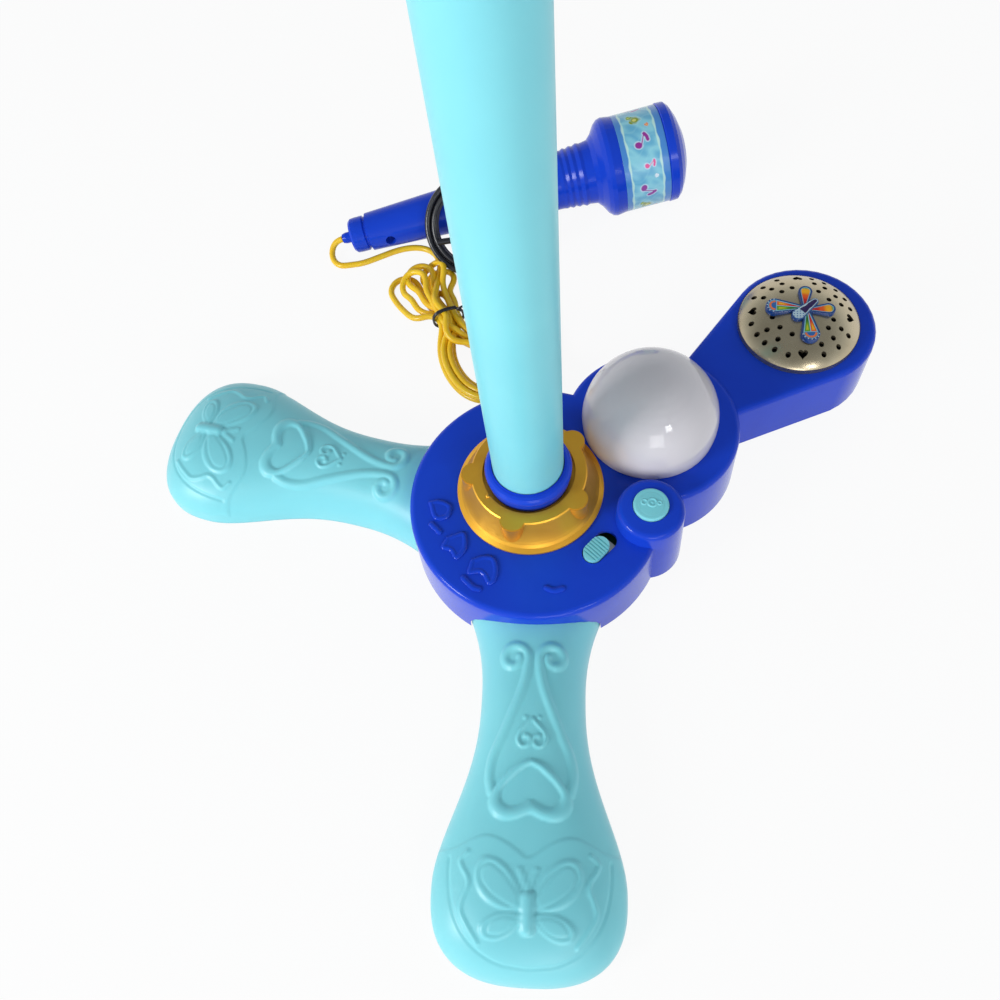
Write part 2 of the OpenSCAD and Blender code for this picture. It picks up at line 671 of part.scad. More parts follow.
// The basket, its magnet and the rear plate.
module speaker_magnet() color([0.25, 0.25, 0.27]) translate([grille_c[0], grille_c[1], 0]) {
    difference() {
        rotate_extrude() polygon([
            [grille_r - 2, arm_roof - 2.8], [grille_r - 2, arm_roof - 2], [cone_r + 1, arm_roof - 2],
            [grille_r / 2, arm_roof - 12], [0, arm_roof - 12], [0, arm_roof - 13],
            [grille_r / 2 + 1, arm_roof - 13],
            [cone_r + 2, arm_roof - 2.8]]);
        for (a = [0 : 90 : 270]) rotate(a + 45) translate([0.68 * grille_r, 0, arm_roof - 12.6]) cylinder(r = 4.6, h = 9);
    }
    translate([0, 0, arm_roof - 21]) cylinder(r = 0.52 * grille_r, h = 8.1);
    translate([0, 0, arm_roof - 22.2]) cylinder(r = 0.55 * grille_r, h = 1.3);
}

// A butterfly of four round wings on a slim body.
badge_z = arm_h + rim_h + grille_rise + 0.1;
module wing(near, far, near_r, far_r) hull() {
    translate(near) circle(r = near_r, $fn = 20);
    translate(far) circle(r = far_r, $fn = 32);
}
module butterfly_badge() color([0.25, 0.45, 0.65])
    translate([grille_c[0], grille_c[1] - 0.6, badge_z]) rotate(222) {
        linear_extrude(2) {
            for (s = [-1, 1]) {
                wing([1, s * 2], [9.2, s * 11.4], 1.8, 4.5);
                wing([-1, s * 1.5], [-8.2, s * 7.4], 1.5, 3.4);
            }
            stadium(18.6, 3.6);
            translate([7, 0]) circle(r = 2.8);
        }
    }

// ================= controls =================
module board_at() translate([board_c[0], board_c[1], board_z]) rotate(board_turn) children();
module control_board() color(board_green) difference() {
    board_at() translate([-20, -9, 0]) cube([40, 18, board_t]);
    for (p = board_pillar_at) translate([p[0], p[1], board_z - 1]) cylinder(r = 1, h = 4);
}

button_stem_z = board_z + board_t + 4 + button_travel + 0.6;
module play_button() color(light_blue) translate([button_c[0], button_c[1], 0]) rotate_extrude()
    polygon(concat(
        [[0, button_stem_z], [3, button_stem_z], [3, turret_roof - 2.2], [button_r + 1.4, turret_roof - 2.2],
         [button_r + 1.4, turret_roof - seat], [button_r, turret_roof - seat]],
        edge_arc(button_r, button_top, 1),
        [[button_r - 2.2, button_top], [0, button_top + 0.2]]));

module button_spring() color(steel) translate([button_c[0], button_c[1], board_z + board_t]) {
    spring_h = turret_roof - 2.2 - board_z - board_t;
    wire_r = 0.45;
    coil = [for (t = [0 : 1 / 60 : 1.001])
        [4.3 * cos(1710 * t), 4.3 * sin(1710 * t), wire_r + 0.02 + t * (spring_h - 2 * wire_r - 0.04)]];
    run(coil, wire_r, 6);
}

slider_at = slot_c - (slider_travel / 2) * dir(slot_turn);
module power_switch() color(light_blue) translate([slider_at[0], slider_at[1], 0]) rotate(slot_turn)
    difference() {
        translate([0, 0, roof - 0.6]) linear_extrude(hub_h - roof + 2.8) stadium(slider_l, slider_w);
        for (k = [-3 : 3]) translate([k * 1.5, 0, hub_h + 2.2]) cube([0.6, slider_w + 2, 1.2], center = true);
    }

module switch_body() {
    body_h = 4.4;
    color(steel) translate([slot_c[0], slot_c[1], board_z + board_t]) rotate(slot_turn)
        translate([-7, -4, 0]) cube([14, 8, body_h]);
    color(lead_black) translate([slider_at[0], slider_at[1], board_z + board_t + body_h - 0.5])
        rotate(slot_turn) translate([-1.5, -1.5, 0])
            cube([3, 3, roof - 0.6 - seat - board_z - board_t - body_h + 0.5]);
}

// ================= power =================
cell_z = plate_t + 0.3 + cell_r;
module battery_cells() tray_at() for (k = [-1 : 1])
    translate([0, k * cell_pitch, cell_z]) rotate([0, 90, 0]) {
        color([0.15, 0.35, 0.6]) cylinder(r = cell_r, h = cell_l - 1.2, center = true);
        color(steel) translate([0, 0, cell_l / 2 - 0.7]) cylinder(r = 2.7, h = 1.3, center = true);
    }

module battery_contacts() color(steel) tray_at() for (s = [-1, 1]) for (k = [-1 : 1])
    translate([s * (cell_l / 2 + 0.65), k * cell_pitch, cell_z]) cube([0.5, 11, 12], center = true);

// The tab that holds the door, grown by g on every side.
tab_l = door_l / 2 + 7.8;
module door_tab(g) {
    translate([door_l / 2 - 1, -4.5 - g]) square([8.8, 9 + 2 * g]);
    translate([tab_l, 0]) circle(r = 4.5 + g);
}

module battery_door() color(royal_blue) tray_at() difference() {
    union() {
        translate([-door_l / 2 + 0.3, -door_w / 2 + 0.3, 0]) cube([door_l - 0.6, door_w - 0.6, plate_t - 0.4]);
        translate([0, 0, 1.1]) linear_extrude(0.9) door_tab(0);
    }
    translate([tab_l, 0, -1]) cylinder(r = screw_hole_r, h = 4);
}

module door_screw() color(steel) tray_at() translate([tab_l, 0, 1.1]) {
    translate([0, 0, -1]) cylinder(r = screw_head_r, h = 1);
    cylinder(r = screw_r, h = 6.5);
}

// ================= cord outlets =================
jack_at = from_hub(jack_angle, hub_r);
module mic_jack() color(lead_black) {
    p = from_hub(jack_angle, hub_r - 15);
    translate([p[0], p[1], outlet_z]) rotate([0, 90, jack_angle]) difference() {
        union() {
            cylinder(r = 4.6, h = 11.6);
            cylinder(r = 3.1, h = 14.2);
        }
        translate([0, 0, 2]) cylinder(r = 1.8, h = 20);
    }
}

module cord_plug() color(cord_yellow) {
    p = from_hub(jack_angle, hub_r - 0.6);
    translate([p[0], p[1], outlet_z]) rotate([0, 90, jack_angle]) {
        rotate_extrude() polygon([
            [0, 0.3], [3.8, 0.3], [4, 1], [4, 11], [3.2, 12], [2.5, 19], [2.3, 20], [0, 20]]);
        color(gold) translate([0, 0, -11]) cylinder(r = 1.75, h = 12);
    }
}

module audio_relief() color(lead_black) {
    p = from_hub(audio_angle, hub_r - 3.4);
    translate([p[0], p[1], outlet_z]) rotate([0, 90, audio_angle]) rotate_extrude() polygon([
        [0, -2], [4.4, -2], [4.4, 0], [3.2, 0], [3.2, 3.6], [3.8, 3.7], [3.6, 6], [2.3, 18], [0, 18]]);
}

// ================= microphone =================
module mic_at() translate([mic_place[0], mic_place[1], mic_z])
    rotate([0, -mic_tilt, mic_turn]) children();

mk = mic_l / 202.8;                      // the outline is drawn for this length
// Outline of the body as radius and distance from the tail's end.
mic_outline = [
    for (p = [
        [0, cap_r - 1.4], [1.4, cap_r - 0.2], [cap_s, cap_r], [8.6, cap_r], [9.2, cap_r - 0.9], [10.4, cap_r - 0.9],
        [11, cap_r + 0.8], [128, neck_r], [130, neck_r + 0.4], [131.6, neck_r], [133.4, neck_r + 0.9],
        [135.2, neck_r + 0.2], [137.2, neck_r + 1.2], [139.2, neck_r + 0.6], [141.4, neck_r + 1.7],
        [143.4, neck_r + 1.1], [148, neck_r + 1.8], [150.6, neck_r + 4.4], [153.4, head_r - 2.7],
        [155.6, head_r - 0.7], [158, head_r], [161.4, head_r - 0.5], [163, head_r - 0.8],
        [189, head_r - 1.1], [189.6, head_r - 0.3], [193.6, head_r - 0.5], [195.8, head_r - 2.6],
        [198.4, head_r - 7.5], [201, head_r - 15], [202.8, 0]]) [p[1], p[0] * mk]];
// The hollow inside, as far from the outside as the wall is thick.
mic_hollow = [
    for (p = [
        [2.2, 0], [2.2, cap_r - 2.6], [8.6, cap_r - 2.9], [128, neck_r - 0.4], [148, neck_r + 0.2],
        [151.6, neck_r + 1.4], [155, head_r - 5.5], [158.4, head_r - 0.6], [161.4, head_r - 0.9],
        [189, head_r - 1.3], [192.6, head_r - 1.5],
        [194.4, head_r - 3.4], [196.8, head_r - 8], [199.2, head_r - 15], [200.7, 0]])
        [max(p[1] - (mic_wall - 0.4), 0), p[0] * mk]];

module mic_shell(turn) mic_at() rotate([turn, 0, 0]) difference() {
    rotate([90, 0, 90]) rotate_extrude(angle = 180) difference() {
        polygon(concat([[0, 0]], mic_outline));
        polygon(mic_hollow);
        // recess for the printed band
        translate([head_r - 1.6, 163.2 * mk]) square([4, 25.6 * mk]);
    }
    translate([-2, 0, 0]) rotate([0, 90, 0]) cylinder(r = 3.35, h = 6);
}
// Radius of the handle at distance x from the tail's end.
function handle_r(x) = cap_r + 0.8 + (neck_r - cap_r - 0.8) * (x / mk - 11) / 117;
mic_screw_at = [23.3 * mk, 108 * mk];

module mic_front_shell() color(royal_blue) difference() {
    union() {
        mic_shell(90);
        mic_at() for (x = mic_screw_at) translate([x, 0, 0]) rotate([90, 0, 0])
            translate([0, 0, 0.15]) cylinder(r = 4.2, h = handle_r(x) - 1);
    }
    mic_at() for (x = mic_screw_at) translate([x, 0, 0]) rotate([90, 0, 0]) {
        translate([0, 0, -1]) cylinder(r = screw_hole_r, h = 9);
        translate([0, 0, 4.2]) cylinder(r = screw_head_r + 0.3, h = 30);
    }
}
module mic_back_shell() color(royal_blue) difference() {
    union() {
        mic_shell(-90);
        mic_at() for (x = mic_screw_at) translate([x, 0, 0]) rotate([-90, 0, 0])
            translate([0, 0, 0.15]) cylinder(r = 4.2, h = handle_r(x) - 1);
    }
    mic_at() for (x = mic_screw_at) translate([x, 0, 0]) rotate([-90, 0, 0])
        translate([0, 0, -1]) cylinder(r = screw_r + 0.05, h = 9);
}

module mic_band() color([0.55, 0.80, 0.88]) mic_at() rotate([90, 0, 90]) rotate_extrude() difference() {
    translate([head_r - 1.55, 163.3 * mk]) square([0.75, 25.4 * mk]);
}

module mic_capsule() color(lead_black) mic_at() translate([176 * mk, 0, 0]) rotate([0, 90, 0]) {
    cylinder(r = 9, h = 6);
    translate([0, 0, -3]) cylinder(r = head_r - mic_wall - 0.9, h = 3);
}

// Screws that draw the shells together, deep in holes of the front shell.
module mic_screws() color(steel) mic_at() for (x = mic_screw_at)
    translate([x, -4.25, 0]) rotate([-90, 0, 0]) screw(11);

relief_l = 9;
module mic_relief() color(royal_blue) mic_at() rotate([0, 90, 0]) rotate_extrude() polygon([
    [0, -relief_l + 3], [2.6, -relief_l + 3], [3.2, -relief_l + 5], [3.3, 3.6], [0, 3.6]]);

// ================= cords =================
// The stretch from the microphone's tail to the hank.
tail_dir = [-cos(mic_tilt) * cos(mic_turn), -cos(mic_tilt) * sin(mic_turn), -sin(mic_tilt)];
tail_end = [mic_place[0], mic_place[1], mic_z] + (relief_l - 3) * tail_dir;
lead_points = [
    tail_end, tail_end + 4 * tail_dir, [-127.6, 177.6, 5.4], [-129.2, 172.8, 2.9], [-126.2, 168.2, 2],
    [-119, 165.4, 1.9], [-106.5, 168.8, 1.9], [-94.9, 174.2, 1.9], [-85.9, 177.4, 1.9], [-76.7, 177.6, 1.9],
    [-70.4, 175.2, 1.9], [-66.6, 170.4, 2.2], [-65.8, 164.2, 3]
];
module cord_lead() color(cord_yellow) run(lead_points, cord_r);

// The folded hank: a fan of loops, the waist in the tie and the lower loops.
module lump(points, top) hull() for (p = points) translate([p[0], p[1], 1])
    cylinder(r = cord_r + 1, h = top - 1, $fn = 12);
module cord_hank() color(cord_yellow) {
    lump([[-68, 161], [-76, 162], [-85.6, 147], [-78, 134], [-60, 138], [-62, 150]], 8);
    lump([[-72, 138], [-57, 129], [-50, 133], [-58, 144]], 13);
    lump([[-59, 132], [-52.4, 130], [-50, 111], [-43.6, 114]], 13.2);
    lump([[-55, 110], [-43, 112], [-40, 93], [-50, 92]], 11);
    lump([[-50, 92], [-40, 95], [-29, 69], [-20, 76]], 9);
    lump([[-48, 119], [-44, 112], [-26, 99], [-24, 105]], 10);
    lump([[-26, 70], [-17, 79], [-24, 104], [-15, 97]], 8);
}

// A twist tie round the waist.
module cord_tie() color(lead_black) translate([-51.2, 121.4, 7.6]) rotate([90, 0, 18])
    linear_extrude(1.6, center = true) difference() {
        rounded_plan(18.6, 15, 3.2);
        rounded_plan(17, 13.4, 2.4);
    }

plug_out = from_hub(jack_angle, hub_r - 0.6 + 20.6);
tail_points = [
    [plug_out[0], plug_out[1], outlet_z], [-7.7, 79.8, 11.2], [-8.8, 84.4, 8.6], [-11.1, 89.6, 5.6]
];
module cord_tail() color(cord_yellow) run(tail_points, cord_r);

// The audio lead runs from the hub's back to a coil that lies over the handle.
audio_out = from_hub(audio_angle, hub_r - 3.4 + 18.5);
audio_points = [
    [audio_out[0], audio_out[1], outlet_z], [10.6, 77, 11.2], [11.2, 82, 8.4], [11.4, 88, 5], [11.2, 95, 2.6],
    [10.4, 103, 1.9], [8.6, 113, 1.9], [5, 124, 1.9], [0, 134, 1.9], [-6, 142, 2.4],
    [-13, 148, 3.4], [-18.6, 152.6, 5.4], [-20.6, 154.9, 6.9]
];
module audio_lead() color(lead_black) run(audio_points, cord_r);

coil_c = [-38, 173.4, 24.9];
coil_r = 25;
module coil_at() translate(coil_c) rotate([48, -9, 0]) children();
module audio_coil() color(lead_black) coil_at() rotate_extrude() translate([coil_r, 0])
    polygon([[-5.4, -3], [-3.6, -4.4], [3.6, -4.4], [5.4, -3], [5.4, 3], [3.6, 4.4], [-3.6, 4.4], [-5.4, 3]]);

module audio_plug() color(lead_black) coil_at() translate([8, -6, 6.3]) rotate([0, -90, 0]) {
    cylinder(r = 3, h = 16);
    color(steel) translate([0, 0, 15]) cylinder(r = 1.75, h = 14);
}

hub_shell();
bottom_plate();
front_foot();
left_foot();
foot_screws();
plate_screws();
tube_socket();
lock_nut();
lower_tube();
height_socket();
height_nut();
upper_tube();
tube_bush();
holder_bracket();
holder_pin();
mic_holder();
light_dome();
lamp_board();
lamp_leds();
speaker_grille();
speaker_frame();
speaker_cone();
speaker_magnet();
butterfly_badge();
control_board();
play_button();
button_spring();
power_switch();
switch_body();
battery_cells();
battery_contacts();
battery_door();
door_screw();
mic_jack();
mic_front_shell();
mic_back_shell();
mic_band();
mic_capsule();
mic_screws();
mic_relief();
cord_lead();
cord_hank();
cord_tie();
cord_tail();
cord_plug();
audio_relief();
audio_lead();
audio_coil();
audio_plug();
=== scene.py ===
# The looks of a toy karaoke microphone with its floor stand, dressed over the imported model.
# Lengths in this file are written in millimetres and turned into metres where a mesh is made.
import json

import bmesh
import bpy
import numpy as np
from mathutils import Matrix, Vector
from mathutils.bvhtree import BVHTree


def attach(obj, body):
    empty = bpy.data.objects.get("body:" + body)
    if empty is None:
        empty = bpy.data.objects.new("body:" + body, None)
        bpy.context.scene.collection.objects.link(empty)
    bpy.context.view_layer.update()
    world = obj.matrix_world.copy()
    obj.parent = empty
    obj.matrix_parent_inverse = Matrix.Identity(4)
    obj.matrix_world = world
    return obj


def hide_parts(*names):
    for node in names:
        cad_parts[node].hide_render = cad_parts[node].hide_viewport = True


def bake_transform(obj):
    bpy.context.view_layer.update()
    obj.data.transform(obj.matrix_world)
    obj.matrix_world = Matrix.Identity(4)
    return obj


MM = 0.001
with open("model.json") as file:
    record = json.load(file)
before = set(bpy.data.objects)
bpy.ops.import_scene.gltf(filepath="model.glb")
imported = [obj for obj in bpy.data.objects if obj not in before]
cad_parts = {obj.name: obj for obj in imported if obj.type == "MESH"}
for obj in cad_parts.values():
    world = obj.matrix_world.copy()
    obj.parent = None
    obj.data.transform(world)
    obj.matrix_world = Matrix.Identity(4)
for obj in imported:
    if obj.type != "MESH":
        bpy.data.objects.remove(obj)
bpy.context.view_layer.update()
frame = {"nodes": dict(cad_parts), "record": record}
nodes = frame["nodes"]
scene = bpy.context.scene

# ---------------------------------------------------------------- camera
# Fitted to the pole's two edges, the rings round it and the hub's and the grille's outlines in the
# photograph, with the lens held at one value.
CAMERA_AT = np.array([21.106, -176.726, 383.439]) * MM
CAMERA_RIGHT = np.array([0.99592, 0.04348, -0.07907])
CAMERA_FORWARD = np.array([-0.09013, 0.43521, -0.89580])
LENS = 29.88
SENSOR = 36.0
SHIFT_X = 0.0
SHIFT_Y = 0.0
W, H = 1000, 1000

camera_data = bpy.data.cameras.new("camera")
camera_data.lens = LENS
camera_data.sensor_width = SENSOR
camera_data.sensor_fit = "AUTO"
camera_data.shift_x = SHIFT_X
camera_data.shift_y = SHIFT_Y
camera_data.clip_start = 0.01
camera_data.clip_end = 20
camera = bpy.data.objects.new("camera", camera_data)
axes = np.eye(4)
axes[:3, 0] = CAMERA_RIGHT / np.linalg.norm(CAMERA_RIGHT)
axes[:3, 2] = -CAMERA_FORWARD / np.linalg.norm(CAMERA_FORWARD)
axes[:3, 1] = np.cross(axes[:3, 2], axes[:3, 0])
axes[:3, 3] = CAMERA_AT
camera.matrix_world = Matrix(axes.tolist())
scene.collection.objects.link(camera)
scene.camera = camera
scene.view_settings.view_transform = "Standard"


def to_image(points):
    """Where points in metres fall in the photograph's frame, in pixels from its top left corner."""
    local = (np.asarray(points, float) - axes[:3, 3]) @ axes[:3, :3]
    scale = max(W, H) * LENS / SENSOR
    x = W / 2 - SHIFT_X * max(W, H) + scale * local[:, 0] / -local[:, 2]
    y = H / 2 + SHIFT_Y * max(W, H) - scale * local[:, 1] / -local[:, 2]
    return np.stack([x, y], axis=1)


# ---------------------------------------------------------------- paths and meshes
def mesh_piece(name, vertices, faces, smooth=True, uv=None):
    """A mesh object from an array of vertices in millimetres and an array of faces."""
    mesh = bpy.data.meshes.new(name)
    mesh.from_pydata((np.asarray(vertices, float) * MM).tolist(), [], np.asarray(faces).tolist()
                     if isinstance(faces, np.ndarray) else [list(f) for f in faces])
    mesh.polygons.foreach_set("use_smooth", np.full(len(mesh.polygons), smooth))
    if uv is not None:
        layer = mesh.uv_layers.new(name="surface")
        loops = np.empty(len(mesh.loops), int)
        mesh.loops.foreach_get("vertex_index", loops)
        layer.data.foreach_set("uv", np.asarray(uv, float)[loops].ravel())
    mesh.update()
    piece = bpy.data.objects.new(name, mesh)
    scene.collection.objects.link(piece)
    return piece


def grid_faces(rows, columns, close_rows=False, close_columns=False):
    """The four-sided faces of a grid of rows x columns vertices, joined at its ends where asked."""
    i = np.arange(rows if close_rows else rows - 1)
    j = np.arange(columns if close_columns else columns - 1)
    i, j = [a.ravel() for a in np.meshgrid(i, j, indexing="ij")]
    i2, j2 = (i + 1) % rows, (j + 1) % columns
    return np.stack([i * columns + j, i * columns + j2, i2 * columns + j2, i2 * columns + j], axis=1)


def spline(points, step):
    """A centripetal Catmull-Rom curve through the points, as points about one step apart."""
    p = np.asarray(points, float)
    p = np.vstack([2 * p[0] - p[1], p, 2 * p[-1] - p[-2]])
    a, b, c, d = p[:-3], p[1:-2], p[2:-1], p[3:]
    root = [np.sqrt(np.linalg.norm(v, axis=1)) for v in (b - a, c - b, d - c)]
    t1, t2, t3 = [x[:, None, None] for x in np.cumsum(root, axis=0)]
    t = t1 + (t2 - t1) * np.linspace(0, 1, 24, endpoint=False)[None, :, None]
    a, b, c, d = [x[:, None, :] for x in (a, b, c, d)]
    a1 = (t1 - t) / t1 * a + t / t1 * b
    a2 = (t2 - t) / (t2 - t1) * b + (t - t1) / (t2 - t1) * c
    a3 = (t3 - t) / (t3 - t2) * c + (t - t2) / (t3 - t2) * d
    b1 = (t2 - t) / t2 * a1 + t / t2 * a2
    b2 = (t3 - t) / (t3 - t1) * a2 + (t - t1) / (t3 - t1) * a3
    q = ((t2 - t) / (t2 - t1) * b1 + (t - t1) / (t2 - t1) * b2).reshape(-1, 3)
    q = np.vstack([q, p[-2]])
    return even(q, step)


def even(q, step):
    """The same line with its points evenly spaced, about one step apart."""
    s = np.r_[0, np.cumsum(np.linalg.norm(np.diff(q, axis=0), axis=1))]
    at = np.linspace(0, s[-1], int(s[-1] / step) + 1)
    return np.stack([np.interp(at, s, q[:, k]) for k in range(3)], axis=1)


def soften(q, rounds, floor=None):
    """Averages each inner point with its neighbours again and again, and keeps it above a floor."""
    q = q.copy()
    for _ in range(rounds):
        q[1:-1] = 0.25 * q[:-2] + 0.5 * q[1:-1] + 0.25 * q[2:]
    if floor is not None:
        q[:, 2] = np.maximum(q[:, 2], floor)
    return q


def limp(route, least=8.5, rounds=600, pull=0.002):
    """A route as a limp cord lies along it. Round by round, points 2k steps apart are pushed apart until
    they stand as far as the chord 2 R sin(k / R) of a circle of the least radius R; the line is made fair
    by drawing each point half way towards the middle of its neighbours and half way back; and every point
    is drawn a little towards its place on the route."""
    floor = CORD_D / 2 + 0.02
    home = soften(route, 6, floor=floor)
    q = home.copy()
    for _ in range(rounds):
        push, weight = np.zeros_like(q), np.full((len(q), 1), 1e-6)
        for k in (2, 3, 5, 7, 9, 11):
            gap = q[2 * k:] - q[:-2 * k]
            far = np.linalg.norm(gap, axis=1, keepdims=True)
            lack = np.clip(2 * least * np.sin(k / least) - far, 0, None)
            near = (lack > 1e-4).astype(float)
            move = 0.5 * lack * gap / np.maximum(far, 1e-6)
            push[2 * k:] += move
            push[:-2 * k] -= move
            weight[2 * k:] += near
            weight[:-2 * k] += near
        push /= np.maximum(weight, 1)
        push[:2], push[-2:] = 0, 0
        q += 0.8 * push
        for share in (0.5, -0.5):
            q[1:-1] += share * (0.5 * (q[:-2] + q[2:]) - q[1:-1])
        q[2:-2] += pull * (home[2:-2] - q[2:-2])
        q[:, 2] = np.maximum(q[:, 2], floor)
    return even(soften(q, 8, floor=floor), 1.0)


def carried_frames(q):
    """Tangents of a line, and two cross axes that turn with it as little as they can."""
    t = np.gradient(q, axis=0)
    t /= np.linalg.norm(t, axis=1)[:, None]
    u = np.empty_like(t)
    side = np.cross((0, 0, 1), t[0])
    u[0] = side / np.linalg.norm(side)
    for k in range(1, len(t)):
        v = u[k - 1] - t[k] * (u[k - 1] @ t[k])
        u[k] = v / np.linalg.norm(v)
    return t, u, np.cross(t, u)


def tube(name, path, radius, sides=16):
    """A round tube along a path, closed with a flat cap at each end; UV runs along and round it."""
    t, u, v = carried_frames(path)
    a = np.linspace(0, 2 * np.pi, sides, endpoint=False)
    r = np.broadcast_to(np.asarray(radius, float), len(path))[:, None, None]
    ring = path[:, None] + r * (np.cos(a)[None, :, None] * u[:, None] + np.sin(a)[None, :, None] * v[:, None])
    faces = grid_faces(len(path), sides, close_columns=True)[:, ::-1].tolist()
    n = len(path) * sides
    faces.append(list(range(sides)))
    faces.append(list(range(n - sides, n))[::-1])
    s = np.r_[0, np.cumsum(np.linalg.norm(np.diff(path, axis=0), axis=1))]
    uv = np.broadcast_arrays(s[:, None] * MM * 10, (a / (2 * np.pi))[None, :])
    return mesh_piece(name, ring.reshape(-1, 3), faces, uv=np.stack(uv, axis=2).reshape(-1, 2))


# ---------------------------------------------------------------- cords
CORD_D = 3.6
